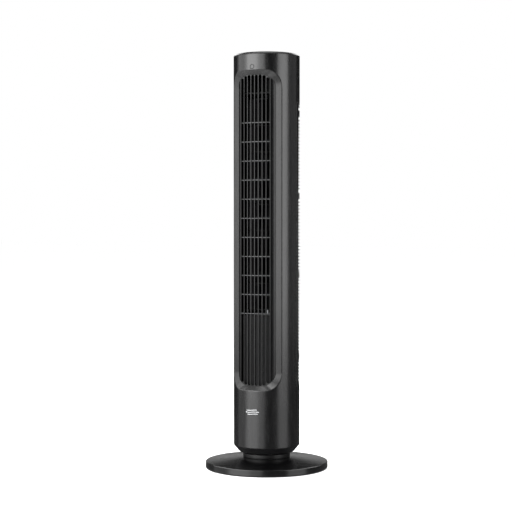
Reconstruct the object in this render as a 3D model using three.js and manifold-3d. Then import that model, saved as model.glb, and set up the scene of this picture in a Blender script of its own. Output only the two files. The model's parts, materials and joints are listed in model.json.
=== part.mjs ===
// Tower fan: a slim oscillating fan on a round weighted foot.
// Millimetres, +Z up, origin on the floor under the middle of the foot, the outlet facing -Y.
import * as THREE from "three";
import { mergeVertices } from "three/addons/utils/BufferGeometryUtils.js";
import Module from "manifold-3d";

const wasm = await Module();
wasm.setup();

// ---------- Driving dimensions ----------
const GAP = 0.3; // between pieces that rest on each other
const TOOL_INSIDE = 60; // where tools that cut the body's wall start, from the axis
const TOOL_OUTSIDE = 90; // and where they end
const HEIGHT = 965.5;

// foot
const BASE_RADIUS = 143;
const RIM_BOTTOM = 1;
const RIM_TOP = 17;
const BASE_TOP = 27;
const COVER_WALL = 2.6;
const FOOT_HEIGHT = 3.7;
const FOOT_RADIUS = 8.5;
const FOOT_CIRCLE = 122;
const FOOT_COUNT = 5;
const PLATE_THICKNESS = 2;
const BASE_SCREW_CIRCLE = 52;
const BASE_SCREW_COUNT = 3;
const BALLAST_INNER = 62;
const BALLAST_OUTER = 128;
const BALLAST_TOP = 11.5;

// self-tapping screws
const SCREW_RADIUS = 1.35;
const SCREW_HEAD_HEIGHT = 1.7;
const SCREW_BORE = 1.75; // in a boss
const SCREW_HOLE = 1.9; // in the piece that is held

// swivel
const NECK_RADIUS = 56.4;
const NECK_TOP = 37.2;
const POST_RADIUS = 10.2;
const POST_BORE = 7;
const POST_TOP = 74;
const HUB_RADIUS = 16.5;
const HUB_BOTTOM = 31.3;
const HUB_TOP = 64;
const POST_FLANGE_RADIUS = 19.5;
const POST_FLANGE_THICKNESS = 2.7;
const GEAR_TOP = 35.5;

// swing drive: a pinion running inside a toothed sector
const GEAR_MODULE = 1.25;
const RING_TEETH = 60;
const PINION_TEETH = 12;
const ADDENDUM = 1.1;
const DEDENDUM = 1.4;
const SECTOR_HALF_ANGLE = 54;
const PINION_BOTTOM = 30.2;
const PINION_TOP = 35.4;
const SWING_MOTOR_RADIUS = 17.5;
const SWING_MOTOR_OFFSET = 8; // from its own shaft
const SWING_MOTOR_BOTTOM = 45;
const SWING_MOTOR_TOP = 60;

// tower body
const BODY_RADIUS = 77;
const WALL = 2.4;
const BODY_BOTTOM = 55.8;
const BODY_TOP = 959.6;
const SKIRT_BOTTOM = 38.2;
const FLOOR_BOTTOM = 62;
const FLOOR_THICKNESS = 3;
const SHELL_SCREW_CIRCLE = 69.4;
const SHELL_SEGMENTS = 24; // over half a turn
const BOSS_HEIGHT = 20;
const SEAM_HALF_GAP = 0.2;

// outlet recess
const RECESS_LOW = 188.4;
const RECESS_HIGH = 923.4;
const RECESS_HALF_ANGLE = 53;
const RECESS_CORNER = 40;
const RECESS_FRAME = 10; // height of the sloping frame above and below the grille
const OUTLET_HALF_WIDTH = 47.8;
const OUTLET_CORNER = 30;
const FRAME_DEPTH = 3;

// outlet grille
const SLAT_PITCH = 9.4;
const SLAT_COUNT = 9;
const SLAT_WIDTH = 2.4;
const SLAT_DEPTH = 8;
const BOW_FRONT = 64; // the middle slat's front edge, in front of the tower's axis
const BOW_DIVISOR = 280; // the bow's parabola, u * u / 280
const OUTLET_EDGE_FRONT = 50;
const RIB_PITCH = 43.94;
const RIB_LOWEST = 364.6;
const RIB_COUNT = 11;
const RIB_HEIGHT = 1.6;
const RIB_SETBACK = 3.4; // behind the outlet's face
const GRILLE_SKIN = 2.6;
const SLOT_BORDER = 2.6; // from a slot's end to the outlet's edge
const OUTLET_BEHIND = 20; // nearer the axis than any outlet piece

// rear grille
const INTAKE_LOW = 193;
const INTAKE_HIGH = 853;
const INTAKE_HALF_ANGLE = 81.5; // either side of straight back
const INTAKE_RIB_PITCH = 39.6;
const INTAKE_RIB_HEIGHT = 3.4;
const INTAKE_BAND_HEIGHT = 15;
const INTAKE_EDGE_HEIGHT = 5;
const INTAKE_BANDS = [261.9, 452.3, 636.2, 827.7];
const MIDDLE_BAR_HALF_ANGLE = 1.4;
const MIDDLE_BAR_DEPTH = 1.8; // how far it stands inside the ribs

// fan wheel and its duct
const WHEEL_AXIS_Y = 4; // behind the tower's axis
const WHEEL_RADIUS = 44;
const WHEEL_INNER_RADIUS = 30;
const WHEEL_LOW = 372.8;
const WHEEL_CELL = 60.86;
const WHEEL_CELLS = 8;
const WHEEL_RING = 1.6;
const BLADE_COUNT = 8;
const BLADE_THICKNESS = 1.3;
const BLADE_TILT = 28;
const SHAFT_RADIUS = 3;
const LOWER_DECK = 358;
const SCREEN_LOW = 188;
const SCREEN_HALF_WIDTH = 46;
const SCREEN_SETBACK = 10;
const SCREEN_WALL = 2;
const UPPER_DECK = 872;
const DECK_THICKNESS = 3;
const DECK_FRONT = 40; // the decks stop this far in front of the axis
const DUCT_WALL = 2;
const DUCT_MOUTH_ANGLE = 47; // either side of straight ahead
const DUCT_MOUTH_RADIUS = 63.5;
const SCROLL_SWEEP = 118;

// fan motor
const MOTOR_RADIUS = 34;
const MOTOR_LOW = 302;
const MOTOR_HIGH = 350;
const MOTOR_BEARING_RADIUS = 8.5;
const MOTOR_MOUNT_CIRCLE = 24;
const MOTOR_MOUNT_RADIUS = 5;

// top and keys
const PANEL_RADIUS = 65.7;
const PANEL_BOTTOM = 963.2;
const PANEL_TOP = 964.6;
const PANEL_PEG_CIRCLE = 48;
const CONTROL_BOARD_BOTTOM = 955;
const CONTROL_BOARD_TOP = 956.6;
const SWITCH_TOP = 957.4;
const KEY_RADIUS = 6.2;
const KEY_TOP = 965.3;
const KEY_CLEARANCE = 0.4;
const KEY_TRAVEL = 0.8;
const KEY_CIRCLE = 40;
const POWER_KEY_HEIGHT = 930.6;
const POWER_KEY_RADIUS = 5.25;
const POWER_KEY_INNER = 71.6; // the key's inner end, from the axis
const POWER_KEY_FLANGE = 1.8;

// carry handle and cord gland
const HANDLE_HEIGHT = 900;
const HANDLE_HALF_WIDTH = 46;
const HANDLE_HALF_HEIGHT = 15;
const HANDLE_CORNER = 12;
const HANDLE_FLOOR_Y = 50;
const HANDLE_WALL = 2;
const GLAND_HEIGHT = 82;
const GLAND_FLANGE_RADIUS = 9;
const GLAND_RADIUS = 6;
const GLAND_BORE = 3.6;

const DEGREE = Math.PI / 180;

// ---------- Materials ----------
function plastic(colour, roughness) {
  return new THREE.MeshStandardMaterial({ color: colour, roughness, metalness: 0 });
}
function metal(colour, roughness) {
  return new THREE.MeshStandardMaterial({ color: colour, roughness, metalness: 1 });
}
const satinBlack = plastic(0x1b1c1d, 0.45);
const mattBlack = plastic(0x111111, 0.7);
const glossBlack = plastic(0x060607, 0.12);
const innerBlack = plastic(0x0b0b0b, 0.6);
const acetal = plastic(0xd9d6cc, 0.4);
const rubber = plastic(0x161616, 0.9);
const boardGreen = plastic(0x1d4d2b, 0.5);
const smokedClear = plastic(0x101318, 0.05);
const steel = metal(0xb9bcc0, 0.3);
const zinc = metal(0x9a9da1, 0.45);
const castIron = metal(0x3a3a3b, 0.8);
const copper = metal(0xb56b3c, 0.35);

// ---------- Solid helpers ----------
// A closed geometry as a solid, turned to face outwards.
function solid(geometry) {
  const bare = geometry.index ? geometry.toNonIndexed() : geometry.clone();
  for (const name of Object.keys(bare.attributes)) {
    if (name !== "position") bare.deleteAttribute(name);
  }
  const merged = mergeVertices(bare, 1e-4);
  const corners = [];
  for (let i = 0; i < merged.index.count; i += 3) {
    const [a, b, c] = [0, 1, 2].map((k) => merged.index.getX(i + k));
    if (a !== b && b !== c && c !== a) corners.push(a, b, c);
  }
  const build = () =>
    new wasm.Manifold(
      new wasm.Mesh({
        numProp: 3,
        vertProperties: new Float32Array(merged.attributes.position.array),
        triVerts: new Uint32Array(corners),
      }),
    );
  const made = build();
  if (made.volume() >= 0) return made;
  for (let i = 0; i < corners.length; i += 3) {
    [corners[i + 1], corners[i + 2]] = [corners[i + 2], corners[i + 1]];
  }
  return build();
}

function asSolid(thing) {
  return thing.isBufferGeometry ? solid(thing) : thing;
}

function join(first, ...others) {
  return others.reduce((sum, other) => sum.add(asSolid(other)), asSolid(first));
}

function cut(first, ...others) {
  return others.reduce((rest, other) => rest.subtract(asSolid(other)), asSolid(first));
}

function common(first, second) {
  return asSolid(first).intersect(asSolid(second));
}

function geometryOf(thing) {
  const mesh = asSolid(thing).getMesh();
  const geometry = new THREE.BufferGeometry();
  geometry.setAttribute("position", new THREE.BufferAttribute(mesh.vertProperties, 3));
  geometry.setIndex(new THREE.BufferAttribute(mesh.triVerts, 1));
  const flat = geometry.toNonIndexed();
  flat.computeVertexNormals();
  return flat;
}

// A turned piece: its (radius, height) profile goes round the Z axis.
function turned(profile, segments = 20) {
  const points = profile.map(([radius, height]) => new THREE.Vector2(radius, height));
  points.push(points[0].clone());
  return solid(new THREE.LatheGeometry(points, segments).rotateX(Math.PI / 2));
}

function ring(inner, outer, low, high, segments = 20) {
  return turned(
    [
      [inner, low],
      [outer, low],
      [outer, high],
      [inner, high],
    ],
    segments,
  );
}

function rod(radius, low, high, x = 0, y = 0, segments = 16) {
  const geometry = new THREE.CylinderGeometry(radius, radius, high - low, segments);
  return solid(geometry.rotateX(Math.PI / 2).translate(x, y, (low + high) / 2));
}

// A rod along Y, from front to back.
function crossRod(radius, front, back, x, z, segments = 16) {
  const geometry = new THREE.CylinderGeometry(radius, radius, back - front, segments);
  return solid(geometry.translate(x, (front + back) / 2, z));
}

function block(x0, x1, y0, y1, z0, z1) {
  const geometry = new THREE.BoxGeometry(x1 - x0, y1 - y0, z1 - z0);
  return solid(geometry.translate((x0 + x1) / 2, (y0 + y1) / 2, (z0 + z1) / 2));
}

// A flat shape in X and Y, raised from low to high.
function raised(shape, low, high, curveSegments = 8) {
  const options = { depth: high - low, bevelEnabled: false, curveSegments };
  return solid(new THREE.ExtrudeGeometry(shape, options).translate(0, 0, low));
}

// A flat shape in X and Z, running from front to back.
function runningBack(shape, front, back, curveSegments = 8) {
  const options = { depth: back - front, bevelEnabled: false, curveSegments };
  const geometry = new THREE.ExtrudeGeometry(shape, options);
  return solid(geometry.rotateX(Math.PI / 2).translate(0, back, 0));
}

function polygon(points) {
  return new THREE.Shape(points.map(([x, y]) => new THREE.Vector2(x, y)));
}

// A band round the axis between two angles, measured from straight ahead (-Y) towards +X.
function arcBand(inner, outer, from, to, segments) {
  const points = [];
  for (let i = 0; i <= segments; i += 1) {
    const angle = (from + ((to - from) * i) / segments) * DEGREE;
    points.push([outer * Math.sin(angle), -outer * Math.cos(angle)]);
  }
  for (let i = segments; i >= 0; i -= 1) {
    const angle = (from + ((to - from) * i) / segments) * DEGREE;
    points.push([inner * Math.sin(angle), -inner * Math.cos(angle)]);
  }
  return polygon(points);
}

// A rectangle with round corners, as a list of [across, up] points.
function roundedOutline(halfWidth, low, high, corner, cornerSteps = 7, edgeSteps = 6) {
  const points = [];
  const centres = [
    [halfWidth - corner, low + corner, -90],
    [halfWidth - corner, high - corner, 0],
    [corner - halfWidth, high - corner, 90],
    [corner - halfWidth, low + corner, 180],
  ];
  centres.forEach(([across, up, start], index) => {
    for (let i = 0; i <= cornerSteps; i += 1) {
      const angle = (start + (90 * i) / cornerSteps) * DEGREE;
      points.push([across + corner * Math.cos(angle), up + corner * Math.sin(angle)]);
    }
    if (index % 2 === 0) return; // the upright sides need no points between their corners
    for (let i = 1; i < edgeSteps; i += 1) {
      const along = 1 - (2 * i) / edgeSteps;
      const side = index === 1 ? along : -along;
      points.push([side * (halfWidth - corner), index === 1 ? high : low]);
    }
  });
  return points;
}

// Rings with the same number of points, skinned in turn. Two apexes close the ends,
// and without them the last ring meets the first.
function skinned(rings, apexes) {
  const count = rings[0].length;
  const vertices = rings.flat(2);
  const index = [];
  const links = apexes ? rings.length - 1 : rings.length;
  for (let r = 0; r < links; r += 1) {
    const here = r * count;
    const there = ((r + 1) % rings.length) * count;
    for (let i = 0; i < count; i += 1) {
      const next = (i + 1) % count;
      index.push(here + i, there + i, here + next);
      index.push(here + next, there + i, there + next);
    }
  }
  if (apexes) {
    vertices.push(...apexes[0], ...apexes[1]);
    const last = (rings.length - 1) * count;
    const tip = rings.length * count;
    for (let i = 0; i < count; i += 1) {
      const next = (i + 1) % count;
      index.push(tip, i, next);
      index.push(last + i, tip + 1, last + next);
    }
  }
  const geometry = new THREE.BufferGeometry();
  geometry.setAttribute("position", new THREE.Float32BufferAttribute(vertices, 3));
  geometry.setIndex(index);
  return solid(geometry);
}

// ---------- Scene graph ----------
const fan = new THREE.Group();
const base = new THREE.Group();
const tower = new THREE.Group();
const wheelGroup = new THREE.Group();
const pinionGroup = new THREE.Group();
fan.add(base, tower);
tower.add(wheelGroup, pinionGroup);

function place(group, name, thing, material) {
  const mesh = new THREE.Mesh(geometryOf(thing), material);
  mesh.name = name;
  group.add(mesh);
  return mesh;
}

function around(count, radius, startAngle, make) {
  for (let i = 0; i < count; i += 1) {
    const angle = startAngle + (i * 2 * Math.PI) / count;
    make(radius * Math.cos(angle), radius * Math.sin(angle), i + 1);
  }
}

// ---------- Foot ----------
const plateBottom = FOOT_HEIGHT + GAP;
const plateTop = plateBottom + PLATE_THICKNESS;
const coverUnderside = BASE_TOP - COVER_WALL;

function baseCover() {
  const shell = turned(
    [
      [BASE_RADIUS - 1, RIM_BOTTOM],
      [BASE_RADIUS, RIM_BOTTOM + 3],
      [BASE_RADIUS, RIM_TOP - 5],
      [BASE_RADIUS - 1.8, RIM_TOP],
      [BASE_RADIUS - 3.2, RIM_TOP + 0.4],
      [NECK_RADIUS, BASE_TOP],
      [POST_RADIUS + 0.4, BASE_TOP],
      [POST_RADIUS + 0.4, coverUnderside],
      [NECK_RADIUS, coverUnderside],
      [BASE_RADIUS - 5.5, RIM_TOP - 1.9],
      [BASE_RADIUS - COVER_WALL - 1, RIM_BOTTOM],
    ],
    40,
  );
  let whole = shell;
  around(BASE_SCREW_COUNT, BASE_SCREW_CIRCLE, Math.PI / 2, (x, y) => {
    whole = join(whole, rod(5, plateTop + GAP, coverUnderside + 1, x, y, 12));
    whole = cut(whole, rod(SCREW_BORE, plateTop, coverUnderside - 3, x, y, 10));
  });
  return whole;
}

function basePlate() {
  let plate = rod(BASE_RADIUS - 5.8, plateBottom, plateTop, 0, 0, 40);
  around(BASE_SCREW_COUNT, BASE_SCREW_CIRCLE, Math.PI / 2, (x, y) => {
    plate = cut(plate, rod(SCREW_HOLE, plateBottom - 1, plateTop + 1, x, y, 10));
  });
  return plate;
}

place(base, "base_cover", baseCover(), satinBlack);
place(base, "base_plate", basePlate(), mattBlack);
const ballast = ring(BALLAST_INNER, BALLAST_OUTER, plateTop + GAP, BALLAST_TOP, 30);
place(base, "ballast", ballast, castIron);

around(FOOT_COUNT, FOOT_CIRCLE, -Math.PI / 2, (x, y, number) => {
  const foot = place(base, `base_foot_${number}`, rod(FOOT_RADIUS, 0, FOOT_HEIGHT), rubber);
  foot.position.set(x, y, 0);
});

function screw(headBottom, headRadius, shankTop) {
  const headTop = headBottom + SCREW_HEAD_HEIGHT;
  const head = rod(headRadius, headBottom, headTop, 0, 0, 12);
  return join(head, rod(SCREW_RADIUS, headTop - 0.5, shankTop, 0, 0, 8));
}

around(BASE_SCREW_COUNT, BASE_SCREW_CIRCLE, Math.PI / 2, (x, y, number) => {
  const headBottom = plateBottom - GAP - SCREW_HEAD_HEIGHT;
  const mesh = place(base, `base_screw_${number}`, screw(headBottom, 3.4, 18), zinc);
  mesh.position.set(x, y, 0);
});

// ---------- Swivel ----------
const onCover = BASE_TOP + GAP;

place(
  base,
  "swivel_post",
  turned([
    [POST_BORE, 14.5],
    [POST_RADIUS, 14.5],
    [POST_RADIUS, onCover],
    [POST_FLANGE_RADIUS, onCover],
    [POST_FLANGE_RADIUS, onCover + POST_FLANGE_THICKNESS],
    [POST_RADIUS, onCover + POST_FLANGE_THICKNESS],
    [POST_RADIUS, POST_TOP],
    [POST_BORE, POST_TOP],
  ]),
  mattBlack,
);
place(base, "post_nut", ring(POST_RADIUS + 0.4, 19, 17.5, coverUnderside - GAP, 12), zinc);
const washerBottom = onCover + POST_FLANGE_THICKNESS + GAP;
place(base, "thrust_washer", ring(POST_RADIUS + 0.4, 19, washerBottom, HUB_BOTTOM - GAP), acetal);
place(base, "retaining_ring", ring(POST_RADIUS + GAP, 15.5, HUB_TOP + 0.4, HUB_TOP + 3, 24), steel);
place(
  base,
  "neck_collar",
  turned(
    [
      [NECK_RADIUS - 2, onCover],
      [NECK_RADIUS, 30],
      [NECK_RADIUS - 1.2, 33.6],
      [NECK_RADIUS - 4, NECK_TOP],
      [NECK_RADIUS - 5.6, NECK_TOP],
      [NECK_RADIUS - 5.6, onCover],
    ],
    40,
  ),
  satinBlack,
);

// Teeth as [angle, radius] points: each tooth is a trapezium, slimmer towards its tip.
function toothPoints(centreAngle, pitchAngle, rootRadius, tipRadius) {
  const rootHalf = 0.29 * pitchAngle;
  const tipHalf = 0.12 * pitchAngle;
  return [
    [centreAngle - rootHalf, rootRadius],
    [centreAngle - tipHalf, tipRadius],
    [centreAngle + tipHalf, tipRadius],
    [centreAngle + rootHalf, rootRadius],
  ];
}

function polarPath(points) {
  return points.map(([angle, radius]) => [radius * Math.cos(angle), radius * Math.sin(angle)]);
}

const ringPitchRadius = (RING_TEETH * GEAR_MODULE) / 2;
const pinionPitchRadius = (PINION_TEETH * GEAR_MODULE) / 2;
const pinionOrbit = ringPitchRadius - pinionPitchRadius;

function swingGear() {
  const pitchAngle = (2 * Math.PI) / RING_TEETH;
  const root = ringPitchRadius + DEDENDUM;
  const toothSteps = Math.floor((SECTOR_HALF_ANGLE * DEGREE) / pitchAngle);
  const inside = [];
  for (let i = -toothSteps; i <= toothSteps; i += 1) {
    inside.push(...toothPoints(i * pitchAngle, pitchAngle, root, ringPitchRadius - ADDENDUM));
  }
  const plainStart = (toothSteps + 1) * pitchAngle;
  const plainSteps = 20;
  for (let i = 0; i <= plainSteps; i += 1) {
    inside.push([plainStart + ((2 * Math.PI - 2 * plainStart) * i) / plainSteps, root]);
  }
  const hole = raised(polygon(polarPath(inside)), onCover - 1, GEAR_TOP + 1);
  return cut(rod(NECK_RADIUS - 6.4, onCover, GEAR_TOP, 0, 0, 36), hole);
}

function swingPinion() {
  const pitchAngle = (2 * Math.PI) / PINION_TEETH;
  const outline = [];
  for (let i = 0; i < PINION_TEETH; i += 1) {
    const centre = (i + 0.5) * pitchAngle;
    const root = pinionPitchRadius - DEDENDUM;
    outline.push(...toothPoints(centre, pitchAngle, root, pinionPitchRadius + ADDENDUM));
  }
  const wheel = raised(polygon(polarPath(outline)), PINION_BOTTOM, PINION_TOP);
  return join(wheel, rod(2.2, PINION_TOP - 1, SWING_MOTOR_BOTTOM + 2, 0, 0, 12));
}

place(base, "swing_gear", swingGear(), acetal);
pinionGroup.position.set(pinionOrbit, 0, 0);
place(pinionGroup, "swing_pinion", swingPinion(), acetal);

const swingMotorX = pinionOrbit + SWING_MOTOR_OFFSET;
const EAR_REACH = 21.5;

function swingMotor() {
  const can = rod(SWING_MOTOR_RADIUS, SWING_MOTOR_BOTTOM, SWING_MOTOR_TOP, swingMotorX, 0, 24);
  const ears = block(
    swingMotorX - 3.5,
    swingMotorX + 3.5,
    -EAR_REACH - 3,
    EAR_REACH + 3,
    SWING_MOTOR_BOTTOM,
    SWING_MOTOR_BOTTOM + 1,
  );
  const bearing = rod(4.5, SWING_MOTOR_BOTTOM - 1.4, SWING_MOTOR_BOTTOM + 1, pinionOrbit, 0, 16);
  const bore = rod(2.7, SWING_MOTOR_BOTTOM - 2, SWING_MOTOR_BOTTOM + 4, pinionOrbit, 0, 12);
  return cut(join(can, ears, bearing), bore);
}

function bottomSkirt() {
  let skirt = turned(
    [
      [HUB_RADIUS + 0.4, SKIRT_BOTTOM],
      [55, SKIRT_BOTTOM],
      [61.8, SKIRT_BOTTOM + 1.2],
      [65.5, 41.7],
      [67.9, 45],
      [71.9, 49.7],
      [BODY_RADIUS - 0.1, BODY_BOTTOM - GAP],
      [BODY_RADIUS - 3, BODY_BOTTOM - GAP],
      [65.4, 45.8],
      [61, SKIRT_BOTTOM + 3],
      [HUB_RADIUS + 0.4, SKIRT_BOTTOM + 3],
    ],
    36,
  );
  for (const side of [-1, 1]) {
    const top = SWING_MOTOR_BOTTOM - GAP;
    skirt = join(skirt, rod(3.2, SKIRT_BOTTOM + 2, top, swingMotorX, side * EAR_REACH, 12));
  }
  return cut(skirt, rod(5, SKIRT_BOTTOM - 1, SKIRT_BOTTOM + 4, pinionOrbit, 0, 16));
}

place(tower, "bottom_skirt", bottomSkirt(), mattBlack);
place(tower, "swing_motor", swingMotor(), zinc);
place(
  tower,
  "swivel_hub",
  turned([
    [POST_RADIUS + 0.4, HUB_BOTTOM],
    [HUB_RADIUS, HUB_BOTTOM],
    [HUB_RADIUS, SKIRT_BOTTOM + 3.3],
    [19.6, SKIRT_BOTTOM + 3.3],
    [19.6, SKIRT_BOTTOM + 6],
    [HUB_RADIUS, SKIRT_BOTTOM + 6],
    [HUB_RADIUS, HUB_TOP],
    [POST_RADIUS + 0.4, HUB_TOP],
  ]),
  acetal,
);

// ---------- Tower floor and shells ----------
const floorTop = FLOOR_BOTTOM + FLOOR_THICKNESS;
const shellInside = BODY_RADIUS - WALL;
const SHELL_SCREWS = [
  ["front", -1, -1],
  ["front", 1, -1],
  ["rear", -1, 1],
  ["rear", 1, 1],
];
const screwOffset = SHELL_SCREW_CIRCLE * Math.SQRT1_2;

function towerFloor() {
  let plate = ring(HUB_RADIUS + 0.8, shellInside - 1, FLOOR_BOTTOM, floorTop, 30);
  for (const [, sideX, sideY] of SHELL_SCREWS) {
    const x = sideX * screwOffset;
    const y = sideY * screwOffset;
    plate = cut(plate, rod(SCREW_HOLE, FLOOR_BOTTOM - 1, floorTop + 1, x, y, 10));
  }
  return plate;
}

place(tower, "tower_floor", towerFloor(), innerBlack);
SHELL_SCREWS.forEach(([, sideX, sideY], index) => {
  const headBottom = FLOOR_BOTTOM - GAP - SCREW_HEAD_HEIGHT;
  const shape = screw(headBottom, 3.2, floorTop + BOSS_HEIGHT - 5);
  const mesh = place(tower, `shell_screw_${index + 1}`, shape, zinc);
  mesh.position.set(sideX * screwOffset, sideY * screwOffset, 0);
});

// How far in front of the axis the outlet's face lies, at a distance u to the side.
const lastSlat = (SLAT_PITCH * (SLAT_COUNT - 1)) / 2 + SLAT_WIDTH / 2;
function outletFace(u) {
  const inBow = Math.min(Math.abs(u), lastSlat);
  const front = BOW_FRONT - (inBow * inBow) / BOW_DIVISOR;
  if (Math.abs(u) <= lastSlat) return front;
  const along = (Math.abs(u) - lastSlat) / (OUTLET_HALF_WIDTH - lastSlat);
  return front + (OUTLET_EDGE_FRONT - front) * along;
}

// The recess's outer edge, drawn round the body at a radius, and grown outwards by a margin.
function recessEdge(radius, margin) {
  const halfLength = RECESS_HALF_ANGLE * DEGREE * BODY_RADIUS;
  const low = RECESS_LOW - margin;
  const high = RECESS_HIGH + margin;
  return roundedOutline(halfLength + margin, low, high, RECESS_CORNER + margin).map(([along, z]) => {
    const angle = along / BODY_RADIUS;
    return [radius * Math.sin(angle), -radius * Math.cos(angle), z];
  });
}

// The frame's inner edge, where the grille begins.
function outletEdge(back) {
  const low = RECESS_LOW + RECESS_FRAME;
  const high = RECESS_HIGH - RECESS_FRAME;
  return roundedOutline(OUTLET_HALF_WIDTH, low, high, OUTLET_CORNER).map(([u, z]) => [
    u,
    -(outletFace(u) - back),
    z,
  ]);
}

function recessFrame() {
  const rim = 0.8;
  const outer = recessEdge(BODY_RADIUS - 0.25, rim);
  const outerBack = outer.map(([x, y, z]) => [x, y + FRAME_DEPTH, z]);
  return skinned([outer, outletEdge(0), outletEdge(FRAME_DEPTH), outerBack]);
}

function recessCutter() {
  const middle = (RECESS_LOW + RECESS_HIGH) / 2;
  const rings = [recessEdge(BODY_RADIUS + 3, 0), recessEdge(BODY_RADIUS - 9, 0)];
  return skinned(rings, [
    [0, -BODY_RADIUS * 2, middle],
    [0, -10, middle],
  ]);
}

function halfShell(from, to) {
  const half = arcBand(shellInside, BODY_RADIUS, from, to, SHELL_SEGMENTS);
  return raised(half, BODY_BOTTOM, BODY_TOP);
}

function screwBosses(shell, which) {
  let whole = shell;
  for (const [owner, sideX, sideY] of SHELL_SCREWS) {
    if (owner !== which) continue;
    const x = sideX * screwOffset;
    const y = sideY * screwOffset;
    const boss = common(
      rod(5.4, floorTop + GAP, floorTop + BOSS_HEIGHT, x, y, 12),
      rod(BODY_RADIUS - 0.8, floorTop, floorTop + BOSS_HEIGHT + 1, 0, 0, 48),
    );
    whole = cut(join(whole, boss), rod(SCREW_BORE, floorTop, floorTop + BOSS_HEIGHT - 3, x, y, 10));
  }
  return whole;
}

const seamHalfAngle = Math.asin(SEAM_HALF_GAP / BODY_RADIUS) / DEGREE;

function frontShell() {
  const half = halfShell(-90 + seamHalfAngle, 90 - seamHalfAngle);
  const opened = join(cut(half, recessCutter()), recessFrame());
  const holeRadius = POWER_KEY_RADIUS + KEY_CLEARANCE;
  const keyHole = crossRod(holeRadius, -TOOL_OUTSIDE, -TOOL_INSIDE, 0, POWER_KEY_HEIGHT, 20);
  return screwBosses(cut(opened, keyHole), "front");
}

function handleOutline(grow) {
  const low = HANDLE_HEIGHT - HANDLE_HALF_HEIGHT - grow;
  const high = HANDLE_HEIGHT + HANDLE_HALF_HEIGHT + grow;
  return polygon(roundedOutline(HANDLE_HALF_WIDTH + grow, low, high, HANDLE_CORNER + grow, 4, 2));
}

const intakeHalfGap = GAP / 2;

function rearLowerCover() {
  const half = halfShell(90 + seamHalfAngle, 270 - seamHalfAngle);
  const above = rod(TOOL_OUTSIDE, INTAKE_LOW - intakeHalfGap, BODY_TOP + 10, 0, 0, 12);
  const gland = crossRod(GLAND_RADIUS + 0.4, TOOL_INSIDE, TOOL_OUTSIDE, 0, GLAND_HEIGHT, 16);
  return screwBosses(cut(half, above, gland), "rear");
}

function rearUpperCover() {
  const half = halfShell(90 + seamHalfAngle, 270 - seamHalfAngle);
  const below = rod(TOOL_OUTSIDE, BODY_BOTTOM - 10, INTAKE_HIGH + intakeHalfGap, 0, 0, 12);
  const opening = runningBack(handleOutline(HANDLE_WALL + GAP), 0, TOOL_OUTSIDE);
  return cut(half, below, opening);
}

place(tower, "front_shell", frontShell(), satinBlack);
place(tower, "rear_lower_cover", rearLowerCover(), satinBlack);
place(tower, "rear_upper_cover", rearUpperCover(), satinBlack);

// ---------- Outlet grille ----------
function bowedBand(front, back, halfWidth, low, high, steps) {
  const across = [];
  for (let i = 0; i <= steps; i += 1) across.push(-lastSlat + (2 * lastSlat * i) / steps);
  if (halfWidth > lastSlat) {
    across.unshift(-halfWidth);
    across.push(halfWidth);
  }
  const near = across.map((u) => [u, -(outletFace(u) - front)]);
  const far = across.map((u) => [u, -(outletFace(u) - back)]).reverse();
  return raised(polygon([...near, ...far]), low, high);
}

// Height of the outlet's round-cornered edge above or below its middle, at a distance u.
function outletReach(u) {
  const half = (RECESS_HIGH - RECESS_LOW) / 2 - RECESS_FRAME;
  const past = Math.abs(u) - (OUTLET_HALF_WIDTH - OUTLET_CORNER);
  if (past <= 0) return half;
  return half - OUTLET_CORNER + Math.sqrt(OUTLET_CORNER * OUTLET_CORNER - past * past);
}

function outletGrille() {
  const clearance = 0.4;
  const low = RECESS_LOW + RECESS_FRAME + clearance;
  const high = RECESS_HIGH - RECESS_FRAME - clearance;
  const middle = (low + high) / 2;
  const halfWidth = OUTLET_HALF_WIDTH - clearance;
  const outline = polygon(roundedOutline(halfWidth, low, high, OUTLET_CORNER - clearance));
  const face = bowedBand(0, GRILLE_SKIN, halfWidth, low, high, 8);
  let skin = common(face, runningBack(outline, -TOOL_OUTSIDE, -OUTLET_BEHIND));
  const slotHalf = (SLAT_PITCH - SLAT_WIDTH) / 2;
  const slots = SLAT_COUNT - 1;
  for (let i = 0; i < slots; i += 1) {
    const centre = (i - (slots - 1) / 2) * SLAT_PITCH;
    const reach = outletReach(Math.abs(centre) + slotHalf) - SLOT_BORDER;
    const slot = roundedOutline(slotHalf, middle - reach, middle + reach, slotHalf, 4, 1);
    const shape = polygon(slot.map(([u, z]) => [u + centre, z]));
    skin = cut(skin, runningBack(shape, -TOOL_OUTSIDE, -OUTLET_BEHIND));
  }
  let whole = skin;
  for (let i = 0; i < SLAT_COUNT; i += 1) {
    const u = (i - (SLAT_COUNT - 1) / 2) * SLAT_PITCH;
    const reach = outletReach(Math.abs(u) + SLAT_WIDTH) - SLOT_BORDER;
    const front = 1.2 - outletFace(u);
    const back = SLAT_DEPTH - outletFace(u);
    const half = SLAT_WIDTH / 2 - 0.2;
    whole = join(whole, block(u - half, u + half, front, back, middle - reach, middle + reach));
  }
  for (let i = 0; i < RIB_COUNT; i += 1) {
    const ribLow = RIB_LOWEST + i * RIB_PITCH - RIB_HEIGHT / 2;
    const ribHigh = ribLow + RIB_HEIGHT;
    whole = join(whole, bowedBand(RIB_SETBACK, SLAT_DEPTH - 0.6, lastSlat, ribLow, ribHigh, 4));
  }
  return whole;
}

place(tower, "outlet_grille", outletGrille(), mattBlack);

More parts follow.
